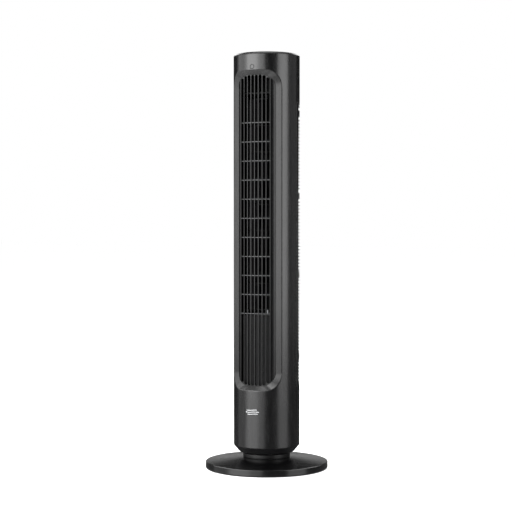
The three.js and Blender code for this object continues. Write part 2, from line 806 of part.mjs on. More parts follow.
// ---------- Rear grille ----------
function rearGrille() {
  const from = 180 - INTAKE_HALF_ANGLE;
  const to = 180 + INTAKE_HALF_ANGLE;
  const segments = 8;
  const low = INTAKE_LOW + intakeHalfGap;
  const high = INTAKE_HIGH - intakeHalfGap;
  const frame = (bottom, top) =>
    raised(arcBand(shellInside, BODY_RADIUS, from - 0.1, to + 0.1, segments), bottom, top);
  const margin = (start, end) => raised(arcBand(shellInside, BODY_RADIUS, start, end, 2), low, high);
  let whole = join(margin(90 + seamHalfAngle, from), margin(to, 270 - seamHalfAngle));
  whole = join(whole, frame(low, low + INTAKE_EDGE_HEIGHT), frame(high - INTAKE_EDGE_HEIGHT, high));
  for (const z of INTAKE_BANDS) {
    whole = join(whole, frame(z - INTAKE_BAND_HEIGHT / 2, z + INTAKE_BAND_HEIGHT / 2));
  }
  const ribCount = Math.floor((high - low) / INTAKE_RIB_PITCH);
  for (let i = 1; i <= ribCount; i += 1) {
    const z = low + i * INTAKE_RIB_PITCH - INTAKE_EDGE_HEIGHT;
    const clearOfBand = (INTAKE_BAND_HEIGHT + INTAKE_RIB_HEIGHT) / 2 + 1;
    const nearBand = INTAKE_BANDS.some((band) => Math.abs(band - z) < clearOfBand);
    if (nearBand || z > high - 2 * INTAKE_EDGE_HEIGHT) continue;
    whole = join(whole, frame(z - INTAKE_RIB_HEIGHT / 2, z + INTAKE_RIB_HEIGHT / 2));
  }
  const middleBar = arcBand(
    shellInside - MIDDLE_BAR_DEPTH,
    BODY_RADIUS - MIDDLE_BAR_DEPTH,
    180 - MIDDLE_BAR_HALF_ANGLE,
    180 + MIDDLE_BAR_HALF_ANGLE,
    1,
  );
  return join(whole, raised(middleBar, low, high));
}

place(tower, "rear_grille", rearGrille(), satinBlack);

// ---------- Carry handle and cord gland ----------
function handleCup() {
  const outer = runningBack(handleOutline(HANDLE_WALL), HANDLE_FLOOR_Y - HANDLE_WALL, TOOL_OUTSIDE);
  const hollow = runningBack(handleOutline(0), HANDLE_FLOOR_Y, TOOL_OUTSIDE + 1);
  const halfHeight = 2 * HANDLE_HALF_HEIGHT;
  const body = rod(BODY_RADIUS, HANDLE_HEIGHT - halfHeight, HANDLE_HEIGHT + halfHeight, 0, 0, 60);
  return cut(common(outer, body), hollow);
}

function cordGland() {
  const flange = crossRod(GLAND_FLANGE_RADIUS, BODY_RADIUS + 0.2, BODY_RADIUS + 2, 0, 0, 20);
  const barrel = crossRod(GLAND_RADIUS, BODY_RADIUS - 9, BODY_RADIUS + 1, 0, 0, 16);
  return cut(join(flange, barrel), crossRod(GLAND_BORE, TOOL_INSIDE, TOOL_OUTSIDE, 0, 0, 14));
}

place(tower, "handle_cup", handleCup(), mattBlack);
place(tower, "cord_gland", cordGland(), rubber).position.set(0, 0, GLAND_HEIGHT);

// ---------- Decks and duct ----------
function deck(low, bore) {
  const high = low + DECK_THICKNESS;
  const disc = rod(shellInside - 3.2, low, high, 0, 0, 30);
  const front = block(-TOOL_OUTSIDE, TOOL_OUTSIDE, -TOOL_OUTSIDE, -DECK_FRONT, low - 1, high + 1);
  return cut(disc, front, rod(bore, low - 1, high + 1, 0, WHEEL_AXIS_Y, 20));
}

const BEARING_RADIUS = 8;
const SHAFT_HOLE = 10;

// The lower deck carries a curved screen that hangs behind the outlet's slats.
function lowerDeck() {
  const top = LOWER_DECK + DECK_THICKNESS;
  const screenBack = SCREEN_SETBACK + SCREEN_WALL;
  const screen = bowedBand(SCREEN_SETBACK, screenBack, SCREEN_HALF_WIDTH, SCREEN_LOW, top, 8);
  const bridge = bowedBand(SCREEN_SETBACK + 1, SCREEN_SETBACK + 15, lastSlat, LOWER_DECK, top, 8);
  return join(deck(LOWER_DECK, SHAFT_HOLE), bridge, screen);
}

place(tower, "lower_deck", lowerDeck(), innerBlack);
place(tower, "upper_deck", deck(UPPER_DECK, BEARING_RADIUS + GAP), innerBlack);

// A wall that follows points given as [angle from straight ahead, distance] from the wheel's axis.
function ductWall(side, stations) {
  const edge = (extra) =>
    stations.map(([angle, distance]) => [
      side * (distance + extra) * Math.sin(angle * DEGREE),
      WHEEL_AXIS_Y - (distance + extra) * Math.cos(angle * DEGREE),
    ]);
  const outline = [...edge(0), ...edge(DUCT_WALL).reverse()];
  return raised(polygon(outline), LOWER_DECK + DECK_THICKNESS + GAP, UPPER_DECK - GAP);
}

const scrollStations = [];
const SCROLL_STEPS = 12;
for (let i = 0; i <= SCROLL_STEPS; i += 1) {
  const along = i / SCROLL_STEPS;
  const angle = DUCT_MOUTH_ANGLE + SCROLL_SWEEP * along;
  const closing = (DUCT_MOUTH_RADIUS - WHEEL_RADIUS - 3) * Math.pow(along, 0.75);
  scrollStations.push([angle, DUCT_MOUTH_RADIUS - closing]);
}
const tongueStations = [
  [DUCT_MOUTH_ANGLE, DUCT_MOUTH_RADIUS],
  [54, 55],
  [60, 49.5],
  [66, 47.2],
  [72, 48],
  [76, 51.5],
];
place(tower, "scroll_wall", ductWall(-1, scrollStations), innerBlack);
place(tower, "tongue_wall", ductWall(1, tongueStations), innerBlack);

// ---------- Fan wheel, on its own axis ----------
const wheelHigh = WHEEL_LOW + WHEEL_CELLS * WHEEL_CELL;
wheelGroup.position.set(0, WHEEL_AXIS_Y, 0);

function fanWheel() {
  const half = WHEEL_RING / 2;
  const endDisc = (centre) => rod(WHEEL_RADIUS, centre - half, centre + half, 0, 0, 18);
  let wheel = join(endDisc(WHEEL_LOW), endDisc(wheelHigh));
  for (let i = 1; i < WHEEL_CELLS; i += 1) {
    const centre = WHEEL_LOW + i * WHEEL_CELL;
    wheel = join(wheel, ring(WHEEL_INNER_RADIUS, WHEEL_RADIUS, centre - half, centre + half, 18));
  }
  const bladeLength = WHEEL_RADIUS - WHEEL_INNER_RADIUS - 1.5;
  const bladeMiddle = (WHEEL_RADIUS + WHEEL_INNER_RADIUS) / 2;
  for (let i = 0; i < BLADE_COUNT; i += 1) {
    const blade = new THREE.BoxGeometry(bladeLength, BLADE_THICKNESS, wheelHigh - WHEEL_LOW);
    blade.rotateZ(BLADE_TILT * DEGREE);
    blade.translate(bladeMiddle, 0, (WHEEL_LOW + wheelHigh) / 2);
    blade.rotateZ((i * 2 * Math.PI) / BLADE_COUNT);
    wheel = join(wheel, blade);
  }
  wheel = join(wheel, rod(9, WHEEL_LOW - 3, WHEEL_LOW + 12, 0, 0, 16));
  wheel = join(wheel, rod(7, wheelHigh - 12, wheelHigh + 1.5, 0, 0, 16));
  wheel = cut(wheel, rod(SHAFT_RADIUS + GAP, WHEEL_LOW - 5, WHEEL_LOW + 14, 0, 0, 12));
  return cut(wheel, rod(SHAFT_RADIUS + GAP, wheelHigh - 14, wheelHigh + 3, 0, 0, 12));
}

place(wheelGroup, "fan_wheel", fanWheel(), innerBlack);
place(wheelGroup, "wheel_axle", rod(SHAFT_RADIUS, wheelHigh - 11, UPPER_DECK + 9, 0, 0, 12), steel);
const upperBearing = ring(SHAFT_RADIUS + GAP, BEARING_RADIUS, UPPER_DECK - 5, UPPER_DECK + 6, 20);
place(tower, "axle_bearing", upperBearing, acetal).position.set(0, WHEEL_AXIS_Y, 0);

// ---------- Fan motor ----------
const motorParts = new THREE.Group();
motorParts.position.set(0, WHEEL_AXIS_Y, 0);
tower.add(motorParts);

place(
  motorParts,
  "motor_housing",
  turned([
    [5, MOTOR_HIGH],
    [MOTOR_RADIUS, MOTOR_HIGH],
    [MOTOR_RADIUS, MOTOR_LOW],
    [MOTOR_RADIUS - 2, MOTOR_LOW],
    [MOTOR_RADIUS - 2, MOTOR_HIGH - 2],
    [MOTOR_BEARING_RADIUS + 2, MOTOR_HIGH - 2],
    [MOTOR_BEARING_RADIUS + 2, MOTOR_HIGH - 8],
    [MOTOR_BEARING_RADIUS + GAP, MOTOR_HIGH - 8],
    [MOTOR_BEARING_RADIUS + GAP, MOTOR_HIGH - 2],
    [5, MOTOR_HIGH - 2],
  ]),
  zinc,
);
place(
  motorParts,
  "motor_end_cap",
  turned([
    [5, MOTOR_LOW - 2.5],
    [MOTOR_RADIUS, MOTOR_LOW - 2.5],
    [MOTOR_RADIUS, MOTOR_LOW - GAP],
    [MOTOR_BEARING_RADIUS + 2, MOTOR_LOW - GAP],
    [MOTOR_BEARING_RADIUS + 2, MOTOR_LOW + 6],
    [MOTOR_BEARING_RADIUS + GAP, MOTOR_LOW + 6],
    [MOTOR_BEARING_RADIUS + GAP, MOTOR_LOW - GAP],
    [5, MOTOR_LOW - GAP],
  ]),
  zinc,
);
const statorCore = ring(19.5, MOTOR_RADIUS - 2.4, MOTOR_LOW + 9, MOTOR_HIGH - 11);
place(motorParts, "motor_stator", statorCore, copper);
const bearingShape = (low) => ring(SHAFT_RADIUS + GAP, MOTOR_BEARING_RADIUS, low, low + 5, 20);
place(motorParts, "motor_bearing_lower", bearingShape(MOTOR_LOW), steel);
place(motorParts, "motor_bearing_upper", bearingShape(MOTOR_HIGH - 7.6), steel);
const rotorCore = rod(18.9, MOTOR_LOW + 10, MOTOR_HIGH - 12, 0, 0, 24);
const motorShaft = rod(SHAFT_RADIUS, MOTOR_LOW - 6, WHEEL_LOW + 11, 0, 0, 12);
place(wheelGroup, "motor_rotor", join(rotorCore, motorShaft), steel);
around(3, MOTOR_MOUNT_CIRCLE, Math.PI / 2, (x, y, number) => {
  const bush = rod(MOTOR_MOUNT_RADIUS, MOTOR_HIGH + GAP, LOWER_DECK - GAP, x, y, 12);
  place(motorParts, `motor_mount_${number}`, bush, rubber);
});

// ---------- Electrics ----------
function powerBoard() {
  const board = block(-42, 42, 24, 25.6, 95, 165);
  const transformer = block(-34, -8, 8, 24.5, 104, 132);
  const relay = block(6, 24, 12, 24.5, 108, 124);
  const terminal = block(-30, 26, 14, 24.5, 146, 158);
  return join(board, transformer, relay, terminal);
}
place(tower, "power_board", powerBoard(), boardGreen);
place(tower, "run_capacitor", block(-20, 20, 34, 56, 110, 144), mattBlack);

// ---------- Top cap, control panel and keys ----------
place(
  tower,
  "top_cap",
  turned(
    [
      [58, 960.4],
      [71.8, 960.4],
      [71.8, 950],
      [shellInside - 0.4, 950],
      [shellInside - 0.4, BODY_TOP + GAP],
      [BODY_RADIUS, BODY_TOP + GAP],
      [BODY_RADIUS, BODY_TOP + 1],
      [BODY_RADIUS - 1.6, 963.4],
      [BODY_RADIUS - 5, HEIGHT - 0.4],
      [68.5, HEIGHT],
      [PANEL_RADIUS + GAP, HEIGHT],
      [PANEL_RADIUS + GAP, PANEL_BOTTOM - GAP],
      [58, PANEL_BOTTOM - GAP],
    ],
    36,
  ),
  satinBlack,
);

const KEYS = [
  ["key_speed", -39],
  ["key_mode", -13],
  ["key_timer", 13],
  ["key_swing", 39],
];
const keyPlaces = KEYS.map(([name, angle]) => [
  name,
  KEY_CIRCLE * Math.sin(angle * DEGREE),
  -KEY_CIRCLE * Math.cos(angle * DEGREE),
]);
const WINDOW_Y = 14;
const WINDOW_HALF_WIDTH = 20;
const WINDOW_HALF_DEPTH = 8;

function windowShape(grow) {
  const low = WINDOW_Y - WINDOW_HALF_DEPTH - grow;
  const high = WINDOW_Y + WINDOW_HALF_DEPTH + grow;
  return polygon(roundedOutline(WINDOW_HALF_WIDTH + grow, low, high, 3 + grow, 3, 1));
}

function controlPanel() {
  let panel = rod(PANEL_RADIUS - 0.2, PANEL_BOTTOM, PANEL_TOP, 0, 0, 36);
  panel = cut(panel, raised(windowShape(GAP), PANEL_BOTTOM - 1, PANEL_TOP + 1));
  for (const [, x, y] of keyPlaces) {
    panel = cut(panel, rod(KEY_RADIUS + KEY_CLEARANCE, PANEL_BOTTOM - 1, PANEL_TOP + 1, x, y, 16));
  }
  around(3, PANEL_PEG_CIRCLE, Math.PI / 6, (x, y) => {
    panel = join(panel, rod(2.5, CONTROL_BOARD_TOP + 0.4, PANEL_BOTTOM + 0.5, x, y, 10));
  });
  return panel;
}

function controlBoard() {
  let board = rod(53, CONTROL_BOARD_BOTTOM, CONTROL_BOARD_TOP, 0, 0, 24);
  for (const [, x, y] of keyPlaces) {
    board = join(board, block(x - 3, x + 3, y - 3, y + 3, CONTROL_BOARD_TOP - 0.3, SWITCH_TOP));
  }
  return board;
}

function key() {
  const cap = rod(KEY_RADIUS, PANEL_BOTTOM - 1, KEY_TOP, 0, 0, 16);
  const flange = rod(KEY_RADIUS + 1.4, PANEL_BOTTOM - 1.4, PANEL_BOTTOM - GAP, 0, 0, 16);
  const stem = rod(2, SWITCH_TOP + KEY_TRAVEL + GAP, PANEL_BOTTOM - 1, 0, 0, 10);
  return join(cap, flange, stem);
}

place(tower, "control_panel", controlPanel(), glossBlack);
place(tower, "display_window", raised(windowShape(0), PANEL_BOTTOM + 0.2, PANEL_TOP + 0.2), smokedClear);
place(tower, "control_board", controlBoard(), boardGreen);
for (const [name, x, y] of keyPlaces) {
  place(tower, name, key(), glossBlack).position.set(x, y, 0);
}

// The power key's face follows the round body.
function powerKey() {
  const inner = -POWER_KEY_INNER - 0.4;
  const post = crossRod(POWER_KEY_RADIUS, -TOOL_OUTSIDE, inner, 0, POWER_KEY_HEIGHT, 20);
  const low = POWER_KEY_HEIGHT - 10;
  const cap = common(post, rod(BODY_RADIUS - 0.15, low, low + 20, 0, 0, 120));
  const front = -POWER_KEY_INNER - POWER_KEY_FLANGE;
  const flange = crossRod(POWER_KEY_RADIUS + 1.2, front, -POWER_KEY_INNER, 0, POWER_KEY_HEIGHT, 20);
  return join(cap, flange);
}
place(tower, "power_key", powerKey(), glossBlack);

export default fan;
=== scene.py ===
"""Tower fan: its looks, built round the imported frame. Metres, +Z up, the outlet facing -Y."""
import json
import math

import bmesh
import bpy
from mathutils import Matrix, Vector


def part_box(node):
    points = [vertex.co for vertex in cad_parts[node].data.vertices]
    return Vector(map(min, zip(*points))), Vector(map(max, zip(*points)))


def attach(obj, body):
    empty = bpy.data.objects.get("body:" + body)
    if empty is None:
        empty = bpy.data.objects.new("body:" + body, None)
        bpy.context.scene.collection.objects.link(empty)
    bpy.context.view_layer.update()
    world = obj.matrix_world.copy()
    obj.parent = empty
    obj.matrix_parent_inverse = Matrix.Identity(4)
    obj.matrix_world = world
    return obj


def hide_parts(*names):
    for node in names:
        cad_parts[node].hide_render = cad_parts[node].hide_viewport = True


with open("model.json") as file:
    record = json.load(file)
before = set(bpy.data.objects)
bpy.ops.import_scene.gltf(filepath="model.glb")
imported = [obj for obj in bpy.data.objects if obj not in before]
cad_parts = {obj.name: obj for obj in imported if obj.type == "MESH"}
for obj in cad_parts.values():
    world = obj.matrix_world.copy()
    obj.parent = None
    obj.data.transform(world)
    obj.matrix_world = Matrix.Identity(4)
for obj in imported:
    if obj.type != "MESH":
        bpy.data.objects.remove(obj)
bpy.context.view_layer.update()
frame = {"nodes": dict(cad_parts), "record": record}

MM = 0.001
FULL_TURN = 2 * math.pi

# ---------- Sizes taken from the frame ----------
base_low, base_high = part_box("base_cover")
front_low, front_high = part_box("front_shell")
BASE_RADIUS = base_high.x
RIM_BOTTOM = base_low.z
BASE_TOP = base_high.z
BODY_RADIUS = front_high.x
BODY_BOTTOM = front_low.z
BODY_TOP = front_high.z
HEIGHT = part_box("top_cap")[1].z
WHEEL_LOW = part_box("fan_wheel")[0].z + 3 * MM
WHEEL_AXIS_Y = sum(corner.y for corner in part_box("wheel_axle")) / 2
INTAKE_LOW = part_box("rear_grille")[0].z
INTAKE_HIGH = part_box("rear_grille")[1].z
PANEL_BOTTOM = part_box("control_panel")[1].z - 1.4 * MM
PANEL_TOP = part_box("control_panel")[1].z

# ---------- Sizes shared with the part's design ----------
RIM_TOP = 17 * MM
WALL = 2.4 * MM
INNER_RADIUS = BODY_RADIUS - WALL
SEAM = 0.2 * MM  # from each shell's edge to the middle of the seam
SHELL_HALF_LENGTH = (math.pi / 2 - SEAM / BODY_RADIUS) * BODY_RADIUS
REAR_START = math.pi / 2 + SEAM / BODY_RADIUS
RECESS_LOW = 188.4 * MM
RECESS_HIGH = 923.4 * MM
OUTLET_MIDDLE = (RECESS_LOW + RECESS_HIGH) / 2
RECESS_HALF_ANGLE = math.radians(53)
RECESS_CORNER = 40 * MM
RECESS_FRAME = 10 * MM
FRAME_DEPTH = 3 * MM
OUTLET_HALF_WIDTH = 47.8 * MM
OUTLET_CORNER = 30 * MM
OUTLET_CLEARANCE = 0.4 * MM
CORNER_STEPS, EDGE_STEPS = 20, 16
SLAT_PITCH = 9.4 * MM
SLAT_COUNT = 9
SLAT_WIDTH = 1.7 * MM
SLAT_DEPTH = 5.5 * MM
LAST_SLAT = SLAT_PITCH * (SLAT_COUNT - 1) / 2 + SLAT_WIDTH / 2  # its outer side
BOW_FRONT = 64 * MM
BOW_DIVISOR = 280 * MM
OUTLET_EDGE_FRONT = 50 * MM
GRILLE_SKIN = 2.6 * MM
SLOT_BORDER = 0.5 * MM  # from a slot's end to the outlet's edge
MARGIN_START_SLOPE = 0.62  # of the face beside the last slat; it grows steeper towards the edge
RIB_PITCH = 43.94 * MM
RIB_LOWEST = 364.6 * MM
RIB_COUNT = 11
RIB_HEIGHT = 1.8 * MM
RIB_SETBACK = 1.2 * MM
SLOT_END = 2.0 * MM
INTAKE_HALF_ANGLE = math.radians(81.2)
INTAKE_PITCH = 7.92 * MM
INTAKE_RIB_HEIGHT = 3.2 * MM
INTAKE_BAND_HEIGHT = 15 * MM
INTAKE_EDGE_HEIGHT = 5 * MM
INTAKE_UPRIGHTS = 9
INTAKE_BANDS = [261.9 * MM, 452.3 * MM, 636.2 * MM, 827.7 * MM]
WHEEL_RADIUS = 44 * MM
WHEEL_INNER_RADIUS = 30 * MM
WHEEL_CELL = 60.86 * MM
WHEEL_CELLS = 8
WHEEL_RING = 1.6 * MM
WHEEL_BORE = 3.3 * MM
BLADE_COUNT = 36
BLADE_ROOT = 31 * MM
BLADE_TIP = 43.3 * MM
BLADE_THICKNESS = 0.9 * MM
BLADE_SWEEP = 0.16  # radians from root to tip
BLADE_BELLY = 0.10  # radians at mid-blade
CELL_TWIST = 0.33  # of a blade's pitch, from one cell to the next
HANDLE_HEIGHT = 900 * MM
HANDLE_HALF_WIDTH = 46 * MM
HANDLE_HALF_HEIGHT = 15 * MM
HANDLE_CORNER = 12 * MM
HANDLE_FLOOR = 50 * MM
HANDLE_WALL = 2 * MM
KEY_RADIUS = 6.2 * MM
KEY_DISH = 0.25 * MM
POWER_KEY_RADIUS = 5.25 * MM
KEYS = ("key_speed", "key_mode", "key_timer", "key_swing")
KEY_CLEARANCE = 0.4 * MM
GAP = 0.3 * MM
GLAND_HOLE_RADIUS = 6.4 * MM
SHARP_FROM = math.radians(38)
BEVEL_FROM = math.radians(40)
BREEZE_MARK_HEIGHT = 139 * MM
BREEZE_MARK_SIZE = 17 * MM
INK_PROUD = 0.03 * MM


# ---------- Materials ----------
class Surface:
    """A procedural material: a principled shader with textures in object space, at real size."""

    def __init__(self, name, metallic=0.0, specular=0.5):
        self.material = bpy.data.materials.new(name)
        self.material.use_nodes = True
        self.tree = self.material.node_tree
        self.shader = self.tree.nodes["Principled BSDF"]
        self.shader.inputs["Metallic"].default_value = metallic
        self.shader.inputs["Specular IOR Level"].default_value = specular
        self.place = self.tree.nodes.new("ShaderNodeTexCoord").outputs["Object"]
        self.height = None

    def node(self, kind, **settings):
        made = self.tree.nodes.new(kind)
        for key, value in settings.items():
            setattr(made, key, value)
        return made

    def link(self, output, socket):
        self.tree.links.new(output, socket)

    def stretched(self, x, y, z):
        mapping = self.node("ShaderNodeMapping")
        mapping.inputs["Scale"].default_value = (x, y, z)
        self.link(self.place, mapping.inputs["Vector"])
        return mapping.outputs["Vector"]

    def noise(self, size, detail=2.0, vector=None):
        """Noise from 0 to 1 whose features are about size metres across."""
        made = self.node("ShaderNodeTexNoise")
        made.inputs["Scale"].default_value = 1 / size
        made.inputs["Detail"].default_value = detail
        self.link(vector or self.place, made.inputs["Vector"])
        return made.outputs["Fac"]

    def ranged(self, value, from_low, from_high, to_low, to_high):
        made = self.node("ShaderNodeMapRange")
        made.inputs["From Min"].default_value = from_low
        made.inputs["From Max"].default_value = from_high
        made.inputs["To Min"].default_value = to_low
        made.inputs["To Max"].default_value = to_high
        self.link(value, made.inputs["Value"])
        return made.outputs["Result"]

    def math(self, operation, first, second):
        made = self.node("ShaderNodeMath", operation=operation)
        for socket, value in zip(made.inputs, (first, second)):
            if isinstance(value, (int, float)):
                socket.default_value = value
            else:
                self.link(value, socket)
        return made.outputs["Value"]

    def mixed(self, factor, first, second):
        made = self.node("ShaderNodeMix", data_type="RGBA")
        self.link(factor, made.inputs["Factor"])
        for key, value in (("A", first), ("B", second)):
            socket = [s for s in made.inputs if s.name == key and s.type == "RGBA"][0]
            if isinstance(value, tuple):
                socket.default_value = (*value, 1)
            else:
                self.link(value, socket)
        return [s for s in made.outputs if s.type == "RGBA"][0]

    def bump(self, value, depth):
        made = self.node("ShaderNodeBump")
        made.inputs["Strength"].default_value = 1
        made.inputs["Distance"].default_value = depth
        self.link(value, made.inputs["Height"])
        if self.height is not None:
            self.link(self.height, made.inputs["Normal"])
        self.height = made.outputs["Normal"]

    def upness(self):
        """1 where a face looks straight up, 0 on upright faces, -1 straight down."""
        parts = self.node("ShaderNodeSeparateXYZ")
        self.link(self.node("ShaderNodeNewGeometry").outputs["Normal"], parts.inputs[0])
        return parts.outputs["Z"]

    def upward(self):
        """0 on sides and undersides, 1 where a face looks straight up."""
        return self.ranged(self.upness(), 0.4, 0.98, 0, 1)

    def sloping(self):
        """0 on upright faces, 1 where a face slopes well up or down."""
        return self.ranged(self.math("ABSOLUTE", self.upness(), 0), 0.25, 0.7, 0, 1)

    def finish(self, colour, roughness):
        self.link(colour, self.shader.inputs["Base Color"])
        self.link(roughness, self.shader.inputs["Roughness"])
        if self.height is not None:
            self.link(self.height, self.shader.inputs["Normal"])
        return self.material


def scaled(colour, factor):
    return tuple(channel * factor for channel in colour)


def moulded(
    name,
    colour,
    roughness,
    grain=0.35 * MM,
    grain_depth=0.02 * MM,
    spread=0.05,
    dust=0.0,
    specular=0.5,
    painted_sheen=0.0,
):
    """Moulded plastic: spark-eroded grain, slow mottling, faint flow and handling marks, and, where
    painted_sheen is given, painted sheen: a paler tone on faces that slope up or down, standing in
    for the light they catch.
    """
    s = Surface(name, specular=specular)
    fine = s.noise(grain, 3)
    cloudy = s.noise(38 * MM, 3)
    smears = s.noise(9 * MM, 4, s.stretched(1, 1, 0.18))
    shade = s.ranged(cloudy, 0.3, 0.7, 0, 1)
    tone = s.mixed(shade, scaled(colour, 0.86), scaled(colour, 1.16))
    speckle = s.ranged(fine, 0.35, 0.7, 0, 1)
    tone = s.mixed(s.math("MULTIPLY", speckle, 0.35), tone, scaled(colour, 1.9))
    rough = s.ranged(smears, 0.25, 0.75, roughness - spread, roughness + spread)
    rough = s.math("ADD", rough, s.ranged(fine, 0.3, 0.7, -0.03, 0.03))
    # Painted sheen: faces that slope up or down are made paler, standing in for the light they
    # catch.
    if painted_sheen:
        tone = s.mixed(s.sloping(), tone, (painted_sheen, painted_sheen, painted_sheen))
    if dust:
        specks = s.ranged(s.noise(2.2 * MM, 5), 0.45, 0.8, 0, dust)
        settled = s.math("MULTIPLY", s.upward(), specks)
        tone = s.mixed(settled, tone, (0.30, 0.29, 0.27))
        rough = s.math("ADD", rough, settled)
    s.bump(fine, grain_depth)
    s.bump(s.noise(6 * MM, 1), 0.012 * MM)
    return s.finish(tone, rough)


def polished(name, colour, roughness):
    """Polished plastic: a slight ripple, hairline swirls and a few finger smears."""
    s = Surface(name)
    hairlines = s.noise(1.6 * MM, 6, s.stretched(1, 9, 1))
    smears = s.noise(14 * MM, 4)
    rough = s.math(
        "ADD",
        s.ranged(hairlines, 0.45, 0.75, roughness, roughness + 0.04),
        s.ranged(smears, 0.5, 0.75, 0, 0.07),
    )
    tone = s.mixed(s.ranged(smears, 0.3, 0.8, 0, 1), colour, scaled(colour, 1.5))
    s.bump(s.noise(18 * MM, 1), 0.02 * MM)
    return s.finish(tone, rough)


def brushed(name, colour, roughness, direction=(1, 1, 14)):
    """Machined or plated metal with fine drawn lines and slight tarnish."""
    s = Surface(name, metallic=1.0)
    lines = s.noise(0.5 * MM, 4, s.stretched(*direction))
    tarnish = s.noise(7 * MM, 4)
    tone = s.mixed(s.ranged(tarnish, 0.35, 0.75, 0, 1), colour, scaled(colour, 0.62))
    rough = s.ranged(lines, 0.25, 0.75, roughness - 0.08, roughness + 0.12)
    s.bump(lines, 0.01 * MM)
    return s.finish(tone, rough)


def rubbery(name, colour, roughness):
    s = Surface(name)
    scuffs = s.noise(2.5 * MM, 5)
    tone = s.mixed(s.ranged(scuffs, 0.5, 0.75, 0, 1), colour, scaled(colour, 2.4))
    rough = s.ranged(scuffs, 0.3, 0.7, roughness - 0.08, roughness + 0.06)
    s.bump(s.noise(0.6 * MM, 3), 0.05 * MM)
    return s.finish(tone, rough)


def cast(name, colour, roughness):
    s = Surface(name, metallic=0.6)
    pits = s.noise(1.4 * MM, 6)
    rust = s.ranged(s.noise(11 * MM, 5), 0.5, 0.7, 0, 0.7)
    tone = s.mixed(rust, colour, (0.11, 0.045, 0.02))
    s.bump(pits, 0.4 * MM)
    return s.finish(tone, s.ranged(pits, 0.3, 0.7, roughness - 0.15, roughness))


def circuit(name, colour):
    s = Surface(name)
    tracks = s.node("ShaderNodeTexBrick")
    tracks.inputs["Scale"].default_value = 260
    tracks.inputs["Mortar Size"].default_value = 0.03
    tracks.inputs["Color1"].default_value = (*colour, 1)
    tracks.inputs["Color2"].default_value = (*scaled(colour, 0.8), 1)
    tracks.inputs["Mortar"].default_value = (*scaled(colour, 1.9), 1)
    s.link(s.place, tracks.inputs["Vector"])
    s.bump(tracks.outputs["Fac"], 0.03 * MM)
    return s.finish(tracks.outputs["Color"], s.ranged(s.noise(5 * MM), 0.3, 0.7, 0.28, 0.42))


def wound(name, colour):
    """Enamelled winding wire laid in even turns, with painted shade: darker in the grooves between
    turns.
    """
    s = Surface(name, metallic=0.9)
    turns = s.node("ShaderNodeTexWave", bands_direction="Z")
    turns.inputs["Scale"].default_value = 320
    turns.inputs["Distortion"].default_value = 1.2
    s.link(s.place, turns.inputs["Vector"])
    # Painted shade: the tone darkens where the turns' bump is low, in the grooves between them.
    tone = s.mixed(turns.outputs["Fac"], scaled(colour, 0.45), colour)
    s.bump(turns.outputs["Fac"], 0.3 * MM)
    return s.finish(tone, s.ranged(turns.outputs["Fac"], 0, 1, 0.45, 0.25))


def printed(name, colour):
    """Screen-printed ink, very slightly uneven."""
    s = Surface(name)
    patches = s.noise(0.4 * MM, 3)
    tone = s.mixed(s.ranged(patches, 0.3, 0.7, 0, 1), scaled(colour, 0.86), colour)
    s.bump(patches, 0.005 * MM)
    return s.finish(tone, s.ranged(patches, 0.3, 0.7, 0.42, 0.6))


satin = moulded("satin_black", (0.0018, 0.0018, 0.0019), 0.25, grain_depth=0.026 * MM, dust=0.006)
# The front casing's material: painted sheen makes its up- and down-facing bevels paler, standing in
# for light on them.
front_satin_painted_sheen = moulded(
    "front_black_painted_sheen", (0.0018, 0.0018, 0.0019), 0.25, grain_depth=0.026 * MM, dust=0.006, painted_sheen=0.022
)
foot_satin = moulded(
    "foot_black", (0.0012, 0.0012, 0.0013), 0.2, grain_depth=0.022 * MM, spread=0.03
)
neck_satin = moulded("neck_black", (0.0018, 0.0018, 0.0019), 0.4, specular=0.32)
matt = moulded("matt_black", (0.0025, 0.0025, 0.0027), 0.34, spread=0.05)
grille = moulded("grille_black", (0.0012, 0.0012, 0.0013), 0.24, spread=0.04, specular=0.3)
# Painted highlight: the ribs get a much paler black than the rest of the grille, so that they show
# as lit lines.
rib_painted_highlight = moulded("rib_black_painted_highlight", (0.035, 0.035, 0.037), 0.35, spread=0.04)
skirt_plastic = moulded("skirt_black", (0.004, 0.004, 0.0043), 0.36, spread=0.05)
dark_acetal = moulded("black_acetal", (0.004, 0.004, 0.0042), 0.45, specular=0.2)
dark_steel = brushed("blackened_steel", (0.02, 0.02, 0.021), 0.5)
inner = moulded("inner_black", (0.0018, 0.0018, 0.002), 0.6, spread=0.08, specular=0.15)
wheel_plastic = moulded("wheel_black", (0.0022, 0.0022, 0.0024), 0.5, specular=0.15)
gloss = polished("gloss_black", (0.006, 0.006, 0.007), 0.10)
smoked = polished("smoked_window", (0.012, 0.014, 0.019), 0.05)
acetal = moulded("bearing_plastic", (0.68, 0.66, 0.60), 0.4, grain=1 * MM)
rubber = rubbery("soft_rubber", (0.016, 0.016, 0.016), 0.82)
green_board = circuit("circuit_board", (0.02, 0.11, 0.045))
steel = brushed("bright_steel", (0.56, 0.57, 0.59), 0.26)
zinc = brushed("zinc_plate", (0.48, 0.49, 0.52), 0.38, direction=(3, 3, 3))
iron = cast("ballast_iron", (0.06, 0.06, 0.062), 0.85)
copper = wound("winding_copper", (0.55, 0.24, 0.10))
ink = printed("icon_ink", (0.62, 0.63, 0.64))
soft_ink = printed("soft_icon_ink", (0.035, 0.036, 0.038))

NODE_MATERIALS = {"axle_bearing": dark_acetal, "wheel_axle": dark_steel}
SLOT_MATERIALS = {
    "satin_black": satin,
    "matt_black": matt,
    "inner_black": inner,
    "gloss_black": gloss,
    "smoked_window": smoked,
    "bearing_plastic": acetal,
    "soft_rubber": rubber,
    "circuit_board": green_board,
    "bright_steel": steel,
    "zinc_plate": zinc,
    "ballast_iron": iron,
    "winding_copper": copper,
}


# ---------- Mesh helpers ----------
def object_from(bm, name):
    """Puts a bmesh into the scene as an object."""
    mesh = bpy.data.meshes.new(name)
    bm.to_mesh(mesh)
    bm.free()
    made = bpy.data.objects.new(name, mesh)
    bpy.context.scene.collection.objects.link(made)
    return made


